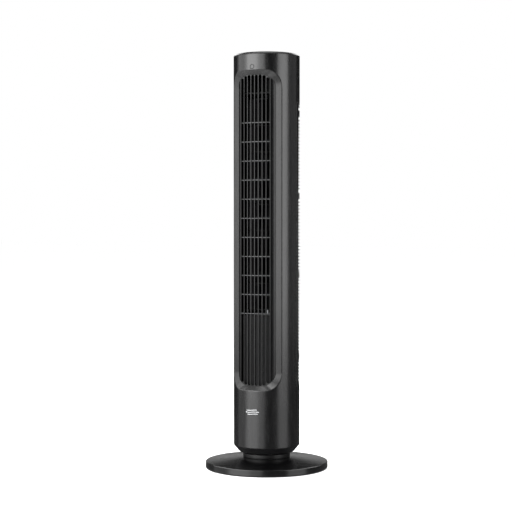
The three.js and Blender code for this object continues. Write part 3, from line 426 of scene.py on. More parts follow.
def add_piece(name, bm, material, body, slot, replaces=(), bevel=0.0, segments=2, by_weight=False):
    """Turns a bmesh into a shown piece that rides on a body, with softened edges."""
    bmesh.ops.remove_doubles(bm, verts=bm.verts, dist=1e-7)
    bmesh.ops.recalc_face_normals(bm, faces=bm.faces)
    piece = object_from(bm, name)
    piece.data.shade_smooth()
    piece.data.set_sharp_from_angle(angle=SHARP_FROM)
    piece.data.materials.append(material)
    if bevel:
        modifier = piece.modifiers.new("soft_edges", "BEVEL")
        modifier.width = bevel
        modifier.segments = segments
        modifier.limit_method = "WEIGHT" if by_weight else "ANGLE"
        modifier.angle_limit = BEVEL_FROM
        modifier.use_clamp_overlap = True
        modifier.miter_outer = "MITER_ARC"
    weighted = piece.modifiers.new("even_shading", "WEIGHTED_NORMAL")
    weighted.keep_sharp = True
    weighted.weight = 80
    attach(piece, body)
    if replaces:
        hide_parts(*replaces)
    return piece


def softened(profile, steps=5):
    """A closed outline of (across, up, fillet) points, with each corner rounded by its fillet."""
    outline = []
    count = len(profile)
    for i, (x, y, fillet) in enumerate(profile):
        corner = Vector((x, y))
        before = Vector(profile[i - 1][:2])
        after = Vector(profile[(i + 1) % count][:2])
        if fillet <= 0:
            outline.append(corner)
            continue
        reach_in = min(fillet, 0.49 * (before - corner).length)
        reach_out = min(fillet, 0.49 * (after - corner).length)
        start = corner + (before - corner).normalized() * reach_in
        end = corner + (after - corner).normalized() * reach_out
        for k in range(steps + 1):
            t = k / steps
            outline.append(start * (1 - t) ** 2 + corner * 2 * t * (1 - t) + end * t**2)
    return outline


def ring_at(bm, outline, angle):
    """Stands a (radius, height) outline at an angle round Z, from straight ahead."""
    turn = Vector((math.sin(angle), -math.cos(angle), 0))
    return [bm.verts.new(turn * p[0] + Vector((0, 0, p[1]))) for p in outline]


def revolve(bm, outline, segments, matrix=None):
    """Sweeps a closed (radius, height) outline round Z."""
    rings = [ring_at(bm, outline, FULL_TURN * i / segments) for i in range(segments)]
    bridge_rings(bm, rings, closed=True)
    if matrix is not None:
        bmesh.ops.transform(bm, matrix=matrix, verts=[v for ring in rings for v in ring])


def bridge_rings(bm, rings, closed=False, loop=True):
    """Quads between neighbouring rings that have the same number of points."""
    pairs = list(zip(rings, rings[1:]))
    if closed:
        pairs.append((rings[-1], rings[0]))
    for here, there in pairs:
        count = len(here)
        for i in range(count if loop else count - 1):
            j = (i + 1) % count
            corners = []
            for v in (here[i], here[j], there[j], there[i]):
                if v not in corners:
                    corners.append(v)
            if len(corners) > 2:
                bm.faces.new(corners)


def loft(bm, rings):
    """A solid through rings of points, closed at both ends."""
    bridge_rings(bm, rings)
    bm.faces.new(rings[0])
    bm.faces.new(rings[-1])


def turned(name, profile, material, body, slot, replaces=(), segments=160, matrix=None):
    """A piece turned from an outline of (radius, height, fillet) points in millimetres."""
    bm = bmesh.new()
    outline = softened([(r * MM, z * MM, f * MM) for r, z, f in profile])
    revolve(bm, outline, segments, matrix)
    add_piece(name, bm, material, body, slot, replaces)


def rounded_outline(half_width, low, high, corner, corner_steps=14, edge_steps=12):
    """A rectangle with round corners as (across, up) points, from its lower right corner round."""
    points = []
    centres = [
        (half_width - corner, low + corner, -90),
        (half_width - corner, high - corner, 0),
        (corner - half_width, high - corner, 90),
        (corner - half_width, low + corner, 180),
    ]
    for index, (across, up, start) in enumerate(centres):
        for i in range(corner_steps + 1):
            angle = math.radians(start + 90 * i / corner_steps)
            points.append((across + corner * math.cos(angle), up + corner * math.sin(angle)))
        if index % 2 == 0:
            continue
        for i in range(1, edge_steps):
            along = 1 - 2 * i / edge_steps
            side = along if index == 1 else -along
            points.append((side * (half_width - corner), high if index == 1 else low))
    return points


def middle_of(node):
    low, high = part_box(node)
    return (low + high) / 2


def circle(x, y, radius, count=48):
    return [
        (x + radius * math.cos(FULL_TURN * i / count), y + radius * math.sin(FULL_TURN * i / count))
        for i in range(count)
    ]


def plate_with_holes(bm, outer, holes):
    """A flat sheet in X and Z (Y is 0) bounded by an outer loop and hole loops."""
    edges = []
    for loop in [outer, *holes]:
        verts = [bm.verts.new((x, 0, z)) for x, z in loop]
        edges += [bm.edges.new((verts[i], verts[(i + 1) % len(verts)])) for i in range(len(verts))]
    bmesh.ops.triangle_fill(bm, use_beauty=True, use_dissolve=False, edges=edges)


def thickened(bm, depth):
    """Gives a sheet a back, depth behind it along +Y, and walls along its open edges."""
    front = bm.faces[:]
    open_edges = [e for e in bm.edges if len(e.link_faces) == 1]
    back = {v: bm.verts.new(v.co + Vector((0, depth, 0))) for v in bm.verts[:]}
    for face in front:
        bm.faces.new([back[v] for v in reversed(face.verts)])
    for edge in open_edges:
        first, second = edge.verts
        bm.faces.new((first, second, back[second], back[first]))


def arc_bar(bm, section, start, end, steps):
    """Sweeps a closed (radius, height) section round the body between two angles."""
    loft(bm, [ring_at(bm, section, start + (end - start) * k / steps) for k in range(steps + 1)])


def rectangle(inner, outer, low, high):
    return [(inner, low), (outer, low), (outer, high), (inner, high)]


def bar_section(inner, outer, low, high, inner_fillet, outer_fillet):
    """A rectangle with round corners, of one fillet at its inner side and one at its outer."""
    fillets = (inner_fillet, outer_fillet, outer_fillet, inner_fillet)
    corners = rectangle(inner, outer, low, high)
    return softened([(*corner, fillet) for corner, fillet in zip(corners, fillets)], 3)


# ---------- Shells ----------
def on_body(along, z, radius):
    """A point on the round body: along is the arc length at its outside, from straight ahead."""
    angle = along / BODY_RADIUS
    return Vector((radius * math.sin(angle), -radius * math.cos(angle), z))


def windowed_wall(bm, line, radius):
    """The body's wall at one radius, with a window. Returns the window's loop and the border's."""
    window = [bm.verts.new(on_body(s, z, radius)) for s, z in line]
    run = 2 * (CORNER_STEPS + 1) + EDGE_STEPS - 1
    start = CORNER_STEPS + 1
    upper = list(range(start, start + run))
    lower = [(start + run + i) % len(line) for i in range(run)]
    upper_border = [bm.verts.new(on_body(line[i][0], BODY_TOP, radius)) for i in upper]
    lower_border = [bm.verts.new(on_body(line[i][0], BODY_BOTTOM, radius)) for i in lower]
    bridge_rings(bm, [[window[i] for i in upper], upper_border], loop=False)
    bridge_rings(bm, [[window[i] for i in lower], lower_border], loop=False)
    side_steps = 22
    edges = {}
    for side in (1, -1):
        column = (
            [lower_border[-1], window[lower[-1]], window[upper[0]], upper_border[0]]
            if side > 0
            else [lower_border[0], window[lower[0]], window[upper[-1]], upper_border[-1]]
        )
        heights = [v.co.z for v in column]
        start_along = side * abs(line[upper[0]][0])
        columns = [column]
        for k in range(1, side_steps + 1):
            along = start_along + (side * SHELL_HALF_LENGTH - start_along) * k / side_steps
            columns.append([bm.verts.new(on_body(along, z, radius)) for z in heights])
        bridge_rings(bm, columns, loop=False)
        edges[side] = columns
    right, left = edges[1], edges[-1]
    border = list(lower_border)
    border += [column[0] for column in right[1:]]
    border += right[-1][1:]
    border += [column[-1] for column in reversed(right[:-1])]
    border += upper_border[1:]
    border += [column[-1] for column in left[1:]]
    border += list(reversed(left[-1][:-1]))
    border += [column[0] for column in reversed(left[1:-1])]
    return window, border


def weigh(bm, loops):
    """Marks closed loops of edges for bevelling, each with its own weight."""
    layer = bm.edges.layers.float.new("bevel_weight_edge")
    for loop, weight in loops:
        for i, vert in enumerate(loop):
            edge = bm.edges.get((vert, loop[(i + 1) % len(loop)]))
            if edge is not None:
                edge[layer] = weight


def outlet_face(u):
    """How far in front of the axis the outlet's face lies, at a distance u to the side."""
    in_bow = min(abs(u), LAST_SLAT)
    front = BOW_FRONT - in_bow * in_bow / BOW_DIVISOR
    if abs(u) <= LAST_SLAT:
        return front
    margin = OUTLET_HALF_WIDTH - LAST_SLAT
    along = (abs(u) - LAST_SLAT) / margin
    drop = front - OUTLET_EDGE_FRONT
    start = MARGIN_START_SLOPE * margin
    return front - start * along - (drop - start) * along * along


def cutter_from(bm, name):
    bmesh.ops.recalc_face_normals(bm, faces=bm.faces)
    return object_from(bm, name)


def hole_cutter(name, radius, matrix):
    bm = bmesh.new()
    sizes = {"radius1": radius, "radius2": radius, "depth": 30 * MM}
    bmesh.ops.create_cone(bm, cap_ends=True, segments=64, matrix=matrix, **sizes)
    return cutter_from(bm, name)


def cut_out(piece, cutter):
    """Cuts a hole for good and removes the cutter. Runs before the piece's other modifiers."""
    modifier = piece.modifiers.new("cut", "BOOLEAN")
    modifier.operation = "DIFFERENCE"
    modifier.solver = "EXACT"
    modifier.object = cutter
    shown = [m for m in piece.modifiers if m != modifier]
    for other in shown:
        other.show_viewport = False
    depsgraph = bpy.context.evaluated_depsgraph_get()
    result = bpy.data.meshes.new_from_object(piece.evaluated_get(depsgraph))
    for other in shown:
        other.show_viewport = True
    piece.modifiers.remove(modifier)
    piece.data = result
    bpy.data.objects.remove(cutter)


def lying(x, y, z):
    """Turns a cylinder's axis from Z to Y, and puts it at a place."""
    return Matrix.Translation((x, y, z)) @ Matrix.Rotation(math.pi / 2, 4, "X")


def front_shell():
    bm = bmesh.new()
    half = RECESS_HALF_ANGLE * BODY_RADIUS
    line = rounded_outline(half, RECESS_LOW, RECESS_HIGH, RECESS_CORNER, CORNER_STEPS, EDGE_STEPS)
    walls = [windowed_wall(bm, line, radius) for radius in (BODY_RADIUS, INNER_RADIUS)]
    mouth_line = rounded_outline(
        OUTLET_HALF_WIDTH,
        RECESS_LOW + RECESS_FRAME,
        RECESS_HIGH - RECESS_FRAME,
        OUTLET_CORNER,
        CORNER_STEPS,
        EDGE_STEPS,
    )
    mouth, mouth_back = [
        [bm.verts.new((u, -(outlet_face(u) - back), z)) for u, z in mouth_line]
        for back in (0, FRAME_DEPTH)
    ]
    (window, border), (window_back, border_back) = walls
    bridge_rings(bm, [window, mouth, mouth_back, window_back])
    bridge_rings(bm, [border, border_back])
    weigh(bm, [(window, 1.0), (mouth, 0.5), (border, 0.3), (border_back, 0.2)])
    piece = add_piece(
        "front_casing",
        bm,
        front_satin_painted_sheen,
        "tower",
        "satin_black",
        ["front_shell"],
        bevel=1.3 * MM,
        segments=4,
        by_weight=True,
    )
    place = lying(0, -BODY_RADIUS, middle_of("power_key").z)
    cut_out(piece, hole_cutter("key_hole", POWER_KEY_RADIUS + KEY_CLEARANCE, place))


def curved_wall(bm, start, end, low, high, steps):
    """A piece of the body's wall between two angles from straight ahead."""
    arc_bar(bm, rectangle(INNER_RADIUS, BODY_RADIUS, low, high), start, end, steps)


def rear_covers():
    end = FULL_TURN - REAR_START
    edge = 0.5 * MM
    lower_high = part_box("rear_lower_cover")[1].z
    upper_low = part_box("rear_upper_cover")[0].z
    bm = bmesh.new()
    curved_wall(bm, REAR_START, end, BODY_BOTTOM, lower_high, 96)
    lower = add_piece(
        "rear_lower_casing", bm, satin, "tower", "satin_black", ["rear_lower_cover"], bevel=edge
    )
    gland = lying(0, BODY_RADIUS, middle_of("cord_gland").z)
    cut_out(lower, hole_cutter("gland_hole", GLAND_HOLE_RADIUS, gland))
    bm = bmesh.new()
    curved_wall(bm, REAR_START, end, upper_low, BODY_TOP, 96)
    upper = add_piece(
        "rear_upper_casing", bm, satin, "tower", "satin_black", ["rear_upper_cover"], bevel=edge
    )
    grow = HANDLE_WALL + GAP
    outline = rounded_outline(
        HANDLE_HALF_WIDTH + grow,
        HANDLE_HEIGHT - HANDLE_HALF_HEIGHT - grow,
        HANDLE_HEIGHT + HANDLE_HALF_HEIGHT + grow,
        HANDLE_CORNER + grow,
    )
    inside, outside = 30 * MM, 90 * MM
    bm = bmesh.new()
    loft(bm, [[bm.verts.new((x, y, z)) for x, z in outline] for y in (inside, outside)])
    cut_out(upper, cutter_from(bm, "handle_cutter"))


def seam_lips():
    """A thin lip behind each upright seam, so the shells overlap and no light gets through."""
    half_width = 3 * MM / BODY_RADIUS
    low = BODY_BOTTOM + 2 * MM
    high = BODY_TOP - 12 * MM
    thickness = 0.8 * MM
    section = rectangle(INNER_RADIUS - thickness, INNER_RADIUS, low, high)
    bm = bmesh.new()
    for middle in (math.pi / 2, 3 * math.pi / 2):
        arc_bar(bm, section, middle - half_width, middle + half_width, 4)
    add_piece("seam_lips", bm, inner, "tower", "inner_black", bevel=0.2 * MM)


# ---------- Outlet grille ----------
def outlet_reach(u):
    """Half the outlet's height at a distance u to the side, where its corners are round."""
    half = (RECESS_HIGH - RECESS_LOW) / 2 - RECESS_FRAME
    past = abs(u) - (OUTLET_HALF_WIDTH - OUTLET_CORNER)
    if past <= 0:
        return half
    return half - OUTLET_CORNER + math.sqrt(max(0, OUTLET_CORNER**2 - past**2))


def outlet_columns():
    """Upright lines across the outlet's face: (u, inner height, whether a slot lies beyond it)."""
    slot_half = (SLAT_PITCH - SLAT_WIDTH) / 2
    half_width = OUTLET_HALF_WIDTH - OUTLET_CLEARANCE
    columns = []
    slot_steps = 12
    for i in range(SLAT_COUNT - 1):
        centre = (i - (SLAT_COUNT - 2) / 2) * SLAT_PITCH
        straight = outlet_reach(abs(centre) + slot_half) - SLOT_BORDER - SLOT_END
        for k in range(slot_steps + 1):
            angle = math.pi * (k / slot_steps - 0.5)
            u = centre + slot_half * math.sin(angle)
            columns.append((u, straight + SLOT_END * math.cos(angle), k < slot_steps))
    edge, inner, _ = columns[-1]
    margin = []
    steps = 14
    for k in range(1, steps + 1):
        u = edge + (half_width - edge) * math.sin(math.pi / 2 * k / steps)
        margin.append((u, inner - 28 * MM * k / steps))
    margin.append((LAST_SLAT, inner - 2 * MM))
    margin.sort()
    right = [(u, height, False) for u, height in margin]
    left = [(-u, height, False) for u, height in reversed(margin)]
    return left + columns + right


def outlet_skin():
    """The grille's face: a bowed sheet with eight round-ended slots."""
    bm = bmesh.new()
    columns = []
    for u, inner_height, slot_beyond in outlet_columns():
        reach = outlet_reach(min(abs(u) + OUTLET_CLEARANCE, OUTLET_HALF_WIDTH))
        outer_height = reach - OUTLET_CLEARANCE
        heights = (-outer_height, -inner_height, inner_height, outer_height)
        verts = [bm.verts.new((u, 0, OUTLET_MIDDLE + h)) for h in heights]
        columns.append((verts, slot_beyond))
    for (here, slot_beyond), (there, _) in zip(columns, columns[1:]):
        for i in range(3):
            if i == 1 and slot_beyond:
                continue
            bm.faces.new((here[i], there[i], there[i + 1], here[i + 1]))
    thickened(bm, GRILLE_SKIN)
    for vert in bm.verts:
        vert.co.y -= outlet_face(vert.co.x)
    edge = {"bevel": 1.0 * MM, "segments": 4}
    add_piece("outlet_face", bm, grille, "tower", "matt_black", ["outlet_grille"], **edge)


def slat_section(width, depth):
    """A slat's section: a round nose in front, tapering to a thin tail."""
    nose = width / 2
    steps = 10
    points = []
    for k in range(steps + 1):
        angle = math.pi * k / steps
        points.append((nose * math.cos(angle), -nose * math.sin(angle) + nose))
    tail = width * 0.12
    points += [(-tail, depth), (tail, depth)]
    return points


def outlet_slats():
    bm = bmesh.new()
    for i in range(SLAT_COUNT):
        u = (i - (SLAT_COUNT - 1) / 2) * SLAT_PITCH
        reach = outlet_reach(abs(u) + SLAT_WIDTH) - 3 * MM
        front = outlet_face(u)
        section = slat_section(SLAT_WIDTH - 0.1 * MM, SLAT_DEPTH)
        rings = [
            [bm.verts.new((u + x, y - front - 0.15 * MM, z)) for x, y in section]
            for z in (OUTLET_MIDDLE - reach, OUTLET_MIDDLE + reach)
        ]
        loft(bm, rings)
    add_piece("outlet_slats", bm, grille, "tower", "matt_black")


def outlet_ribs():
    bm = bmesh.new()
    steps = 32
    half_height = RIB_HEIGHT / 2
    section = bar_section(
        RIB_SETBACK, SLAT_DEPTH, -half_height, half_height, 0.7 * MM, 0.3 * MM
    )
    for i in range(RIB_COUNT):
        middle = RIB_LOWEST + i * RIB_PITCH
        rings = []
        for k in range(steps + 1):
            u = LAST_SLAT * (2 * k / steps - 1)
            front = outlet_face(u)
            rings.append([bm.verts.new((u, -(front - p.x), middle + p.y)) for p in section])
        loft(bm, rings)
    add_piece("outlet_ribs", bm, rib_painted_highlight, "tower", "matt_black")


# ---------- Rear grille ----------
def rear_grille():
    first = math.pi - INTAKE_HALF_ANGLE
    last = math.pi + INTAKE_HALF_ANGLE
    face = BODY_RADIUS - 0.12 * MM
    bm = bmesh.new()
    for start, end in ((REAR_START, first), (last, FULL_TURN - REAR_START)):
        curved_wall(bm, start, end, INTAKE_LOW, INTAKE_HIGH, 6)
    add_piece(
        "rear_grille_sides", bm, satin, "tower", "satin_black", ["rear_grille"], bevel=0.5 * MM
    )
    bm = bmesh.new()
    reach = math.radians(0.4)

    def bar(low, high, fillet):
        section = bar_section(INNER_RADIUS - 0.9 * MM, face, low, high, 0.3 * MM, fillet)
        arc_bar(bm, section, first - reach, last + reach, 80)

    for low, high in (
        (INTAKE_LOW, INTAKE_LOW + INTAKE_EDGE_HEIGHT),
        (INTAKE_HIGH - INTAKE_EDGE_HEIGHT, INTAKE_HIGH),
    ):
        bar(low, high, 0.6 * MM)
    half_band = INTAKE_BAND_HEIGHT / 2
    for z in INTAKE_BANDS:
        bar(z - half_band, z + half_band, 0.8 * MM)
    half_rib = INTAKE_RIB_HEIGHT / 2
    clear = half_band + half_rib + 0.6 * MM
    z = INTAKE_LOW + INTAKE_EDGE_HEIGHT + INTAKE_PITCH / 2
    while z < INTAKE_HIGH - INTAKE_EDGE_HEIGHT - half_rib:
        if all(abs(z - band) > clear for band in INTAKE_BANDS):
            bar(z - half_rib, z + half_rib, 1.1 * MM)
        z += INTAKE_PITCH
    half = math.radians(0.95)
    upright = rectangle(INNER_RADIUS - 1.8 * MM, INNER_RADIUS - 0.3 * MM, INTAKE_LOW, INTAKE_HIGH)
    for i in range(INTAKE_UPRIGHTS):
        middle = math.pi + (INTAKE_HALF_ANGLE - half) * (2 * i / (INTAKE_UPRIGHTS - 1) - 1)
        arc_bar(bm, upright, middle - half, middle + half, 1)
    add_piece("rear_louvres", bm, satin, "tower", "satin_black")


# ---------- Fan wheel ----------
def blade_outline(start):
    """A curved, tapered blade in plan, from a root at the start angle."""
    steps = 6
    sides = []
    for side in (-1, 1):
        line = []
        for k in range(steps + 1):
            t = k / steps
            radius = BLADE_ROOT + (BLADE_TIP - BLADE_ROOT) * t
            angle = start + BLADE_SWEEP * t + BLADE_BELLY * math.sin(math.pi * t)
            turn = Vector((math.cos(angle), math.sin(angle), 0))
            across = Vector((-math.sin(angle), math.cos(angle), 0))
            taper = 1 - 0.45 * abs(2 * t - 1)
            line.append(turn * radius + across * side * BLADE_THICKNESS / 2 * taper)
        sides.append(line)
    return sides[0] + list(reversed(sides[1]))


def fan_wheel():
    bm = bmesh.new()
    centre = Matrix.Translation((0, WHEEL_AXIS_Y, 0))
    half_ring = WHEEL_RING / 2
    wheel_high = WHEEL_LOW + WHEEL_CELL * WHEEL_CELLS
    for i in range(WHEEL_CELLS + 1):
        z = WHEEL_LOW + i * WHEEL_CELL
        hole = WHEEL_BORE if i in (0, WHEEL_CELLS) else WHEEL_INNER_RADIUS
        ring = bar_section(hole, WHEEL_RADIUS, z - half_ring, z + half_ring, 0.4 * MM, 0.6 * MM)
        revolve(bm, ring, 96, centre)
    for low, high, radius in (
        (WHEEL_LOW - 3 * MM, WHEEL_LOW + 12 * MM, 9 * MM),
        (wheel_high - 12 * MM, wheel_high + 1.5 * MM, 7 * MM),
    ):
        hub = [
            (WHEEL_BORE, low, 0), (radius, low, 0.8 * MM),
            (radius - 0.6 * MM, high, 0.8 * MM), (WHEEL_BORE, high, 0),
        ]
        revolve(bm, softened(hub), 48, centre)
    for cell in range(WHEEL_CELLS):
        low = WHEEL_LOW + cell * WHEEL_CELL + half_ring / 2
        high = low + WHEEL_CELL - half_ring
        for i in range(BLADE_COUNT):
            outline = blade_outline(FULL_TURN * (i + CELL_TWIST * cell) / BLADE_COUNT)
            places = [Vector((0, WHEEL_AXIS_Y, z)) for z in (low, high)]
            bridge_rings(bm, [[bm.verts.new(p + place) for p in outline] for place in places])
    add_piece("cross_flow_wheel", bm, wheel_plastic, "wheel", "inner_black", ["fan_wheel"])


# ---------- Foot, neck and skirt ----------
def foot_and_neck():
    rim = RIM_BOTTOM / MM
    radius = BASE_RADIUS / MM
    rim_top = RIM_TOP / MM
    top = BASE_TOP / MM
    dish = [
        (radius - 3.4, rim, 0.5), (radius - 1.2, rim, 0.9), (radius, rim + 2.6, 1.4),
        (radius, rim_top - 0.6, 0.9), (radius - 1.9, rim_top, 0.9),
        (57.5, top - 0.15, 3), (50, top, 0), (10.6, top, 0.3), (10.6, top - 2.6, 0.3),
        (56.4, top - 2.6, 2), (radius - 5.5, rim_top - 2.4, 2),
    ]
    neck = [
        (54.6, top + 0.3, 0.3), (55.2, 29.8, 2), (55.4, 35.9, 1), (54.2, 37.2, 0.8),
        (50.8, 37.2, 0.3), (50.8, top + 0.3, 0.3),
    ]
    skirt = [
        (16.9, 38.2, 0.3), (55, 38.2, 2.5), (61.8, 39.4, 2.5), (65.5, 41.7, 1.8),
        (67.9, 45, 2), (71.9, 49.7, 3), (76.9, 55.4, 0.5), (74.0, 55.5, 0.4),
        (65.4, 45.8, 2), (61, 41.2, 2), (16.9, 41.2, 0.3),
    ]
    turned("foot_dish", dish, foot_satin, "base", "satin_black", ["base_cover"], 256)
    turned("neck_ring", neck, neck_satin, "base", "satin_black", ["neck_collar"], 192)
    turned("skirt_cone", skirt, skirt_plastic, "tower", "matt_black", ["bottom_skirt"], 192)


# ---------- Top: cap, panel, window and keys ----------
def disc_plate(name, outer, holes, low, high, material, slot, replaces, bevel):
    """A flat plate lying level, drawn as X and Y loops."""
    bm = bmesh.new()
    plate_with_holes(bm, outer, holes)
    thickened(bm, high - low)
    level = Matrix(((1, 0, 0, 0), (0, 0, 1, 0), (0, -1, 0, high), (0, 0, 0, 1)))
    bmesh.ops.transform(bm, matrix=level, verts=bm.verts)
    add_piece(name, bm, material, "tower", slot, replaces, bevel=bevel)


def top_pieces():
    high = HEIGHT / MM
    cap = [
        (58, 960.4, 0.3), (71.8, 960.4, 0.3), (71.8, 950, 0.3), (74.2, 950, 0.5),
        (74.2, 959.9, 0.2), (77, 959.9, 0.2), (77, 960.7, 0.5), (75.4, 963.4, 1.6),
        (72, 965.1, 1.8), (68.4, high, 1.4), (66, high, 0.35), (66, 962.9, 0.2),
        (58, 962.9, 0.2),
    ]
    turned("top_ring", cap, satin, "tower", "satin_black", ["top_cap"], 224)
    low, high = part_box("display_window")
    half_width = (high.x - low.x) / 2
    corner = 3 * MM
    holes = [rounded_outline(half_width + GAP, low.y - GAP, high.y + GAP, corner + GAP, 8, 2)]
    for key in KEYS:
        place = middle_of(key)
        holes.append(circle(place.x, place.y, KEY_RADIUS + KEY_CLEARANCE))
    panel = circle(0, 0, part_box("control_panel")[1].x, 160)
    levels = (PANEL_BOTTOM, PANEL_TOP)
    looks = (gloss, "gloss_black", ["control_panel"])
    disc_plate("touch_panel", panel, holes, *levels, *looks, 0.25 * MM)
    lens = rounded_outline(half_width, low.y, high.y, corner, 8, 2)
    looks = (smoked, "smoked_window", ["display_window"])
    disc_plate("display_lens", lens, [], low.z, high.z, *looks, 0.3 * MM)


def key_caps():
    radius = KEY_RADIUS / MM
    under = PANEL_BOTTOM / MM
    for key in KEYS:
        place = middle_of(key)
        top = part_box(key)[1].z / MM
        dish = top - KEY_DISH / MM
        profile = [
            (0, under - 1.4, 0), (radius + 1.4, under - 1.4, 0.2),
            (radius + 1.4, under - 0.3, 0.2), (radius, under - 0.3, 0.1),
            (radius, top, 0.45), (radius - 0.9, top, 0.5), (3.4, dish, 2),
            (0, dish, 0),
        ]
        spot = Matrix.Translation((place.x, place.y, 0))
        turned(key + "_cap", profile, gloss, key + "_body", "gloss_black", [key], 72, spot)


# ---------- Printed symbols ----------
def stroke(bm, points, width, place):
    """A flat ribbon along a line of (x, y) points; place turns a flat point into a 3-D one."""
    line = [Vector(p) for p in points]
    closed = (line[0] - line[-1]).length < 1e-9
    if closed:
        line = line[:-1]
    count = len(line)
    left, right = [], []
    for i, point in enumerate(line):
        before = line[i - 1] if closed or i else point
        after = line[(i + 1) % count] if closed or i < count - 1 else point
        heading = (after - before).normalized()
        across = Vector((-heading.y, heading.x)) * width / 2
        left.append(place(point + across))
        right.append(place(point - across))
    rings = []
    for (left_top, left_low), (right_top, right_low) in zip(left, right):
        corners = (left_top, right_top, right_low, left_low)
        rings.append([bm.verts.new(corner) for corner in corners])
    if closed:
        bridge_rings(bm, rings, closed=True)
    else:
        loft(bm, rings)


def arc(x, y, radius, start, end, steps=28):
    points = []
    for k in range(steps + 1):
        angle = math.radians(start + (end - start) * k / steps)
        points.append((x + radius * math.cos(angle), y + radius * math.sin(angle)))
    return points


def power_symbol(size):
    return [arc(0, 0, size, 125, 415), [(0, size * 0.25), (0, size * 1.15)]]


def fan_symbol(size):
    lobes = []
    for turn in (90, 210, 330):
        angle = math.radians(turn)
        middle = (size * 0.55 * math.cos(angle), size * 0.55 * math.sin(angle))
        lobes.append(arc(*middle, size * 0.42, turn - 150, turn + 130, 20))
    return [*lobes, arc(0, 0, size * 0.14, 0, 360, 12)]


def breeze_symbol(size, rise=0.6, sway=0.16):
    """Three wavy lines, one above another, the middle one the longest."""
    rows = []
    for level, left, right in ((-rise, -0.7, 0.85), (0, -1, 1), (rise, -0.85, 0.7)):
        wave = []
        for k in range(25):
            across = left + (right - left) * k / 24
            wave.append((size * across, size * (level + sway * math.sin(math.pi * across))))
        rows.append(wave)
    return rows


def clock_symbol(size):
    hands = [[(0, size * 0.6), (0, 0)], [(0, 0), (size * 0.5, -size * 0.2)]]
    return [arc(0, 0, size, 0, 360), *hands]


def swing_symbol(size):
    sweep = arc(0, -size * 0.6, size * 1.3, 35, 145)
    heads = []
    for side in (-1, 1):
        tip = (side * size * 1.065, size * 0.146)
        heads.append([(tip[0] - side * size * 0.42, tip[1] + size * 0.02), tip])
        heads.append([(tip[0] + side * size * 0.06, tip[1] + size * 0.45), tip])
    return [sweep, *heads]


def symbol(name, strokes, width, place, material, body, slot):
    bm = bmesh.new()
    for points in strokes:
        stroke(bm, points, width, place)
    add_piece(name, bm, material, body, slot)


def level_place(centre, height):
    """Lays a flat point level at a height: the top and underside of a layer of ink."""

    def place(point):
        x, y = centre.x + point[0], centre.y + point[1]
        return (Vector((x, y, height + INK_PROUD)), Vector((x, y, height - 0.05 * MM)))

    return place


def body_place(z, proud=INK_PROUD):
    """Wraps a flat point round the front of the body."""

    def place(point):
        return (
            on_body(point[0], z + point[1], BODY_RADIUS + proud),
            on_body(point[0], z + point[1], BODY_RADIUS - 0.08 * MM),
        )

    return place


# ---------- Handle, gland, feet and power key ----------
def handle_cup():
    bm = bmesh.new()

    def ring(grow, y=None, shrink=0.0):
        outline = rounded_outline(
            HANDLE_HALF_WIDTH + grow - shrink,
            HANDLE_HEIGHT - HANDLE_HALF_HEIGHT - grow + shrink,
            HANDLE_HEIGHT + HANDLE_HALF_HEIGHT + grow - shrink,
            HANDLE_CORNER + grow - shrink,
            10,
            10,
        )
        verts = []
        for x, z in outline:
            depth = math.sqrt(BODY_RADIUS**2 - x * x) - 0.05 * MM if y is None else y
            verts.append(bm.verts.new((x, depth, z)))
        return verts

    floor = HANDLE_FLOOR
    wall = HANDLE_WALL
    rings = [ring(wall, floor - wall), ring(wall, floor + 4 * MM), ring(wall)]
    rings += [ring(1.2 * MM), ring(0.3 * MM)]
    for vert in rings[-1]:
        vert.co.y -= 0.9 * MM
    rings.append(ring(0, floor + 5 * MM))
    fillet = 4 * MM
    for k in range(1, 6):
        angle = math.radians(90 * k / 5)
        depth = floor + fillet * (1 - math.sin(angle))
        rings.append(ring(0, depth, fillet * (1 - math.cos(angle))))
    loft(bm, rings)
    add_piece("carry_grip", bm, matt, "tower", "matt_black", ["handle_cup"])


def cord_gland():
    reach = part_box("cord_gland")[1].y / MM
    body_edge = BODY_RADIUS / MM
    height = middle_of("cord_gland").z
    matrix = Matrix.Translation((0, 0, height)) @ Matrix.Rotation(-math.pi / 2, 4, "X")
    profile = [
        (3.6, body_edge - 9, 0.3), (6, body_edge - 9, 0.4), (6, body_edge + 0.2, 0),
        (9, body_edge + 0.2, 0.2), (9, reach - 0.9, 0.5), (6.4, reach, 1),
        (3.6, reach, 0.6),
    ]
    turned("cord_grommet", profile, rubber, "tower", "soft_rubber", ["cord_gland"], 72, matrix)


def feet():
    for number in range(1, 6):
        node = f"base_foot_{number}"
        low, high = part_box(node)
        radius = (high.x - low.x) / 2 / MM
        top = high.z / MM
        place = middle_of(node)
        profile = [
            (0, 0.35, 0), (radius - 3.4, 0.35, 0.2), (radius - 2.8, 0, 0.2),
            (radius - 0.4, 0, 0.5), (radius, top - 0.8, 0.3), (radius - 0.6, top, 0.3),
            (0, top, 0),
        ]
        name = f"rubber_foot_{number}"
        spot = Matrix.Translation((place.x, place.y, 0))
        turned(name, profile, rubber, "base", "soft_rubber", [node], 48, spot)


def power_key():
    """The front key: a round cap whose face follows the body."""
    bm = bmesh.new()
    place = middle_of("power_key")
    rings = []
    face = BODY_RADIUS - 0.15 * MM
    side = [(1.0, -4.5 * MM), (1.0, -0.9 * MM), (0.97, -0.5 * MM), (0.92, -0.2 * MM)]
    for share, depth in side + [(share, 0) for share in (0.86, 0.7, 0.45, 0.2)]:
        ring = []
        for k in range(64):
            angle = FULL_TURN * k / 64
            x = POWER_KEY_RADIUS * share * math.cos(angle)
            z = place.z + POWER_KEY_RADIUS * share * math.sin(angle)
            ring.append(bm.verts.new((x, -(math.sqrt(face**2 - x * x) + depth), z)))
        rings.append(ring)
    loft(bm, rings)
    add_piece("power_button", bm, satin, "power_key_body", "gloss_black", ["power_key"])


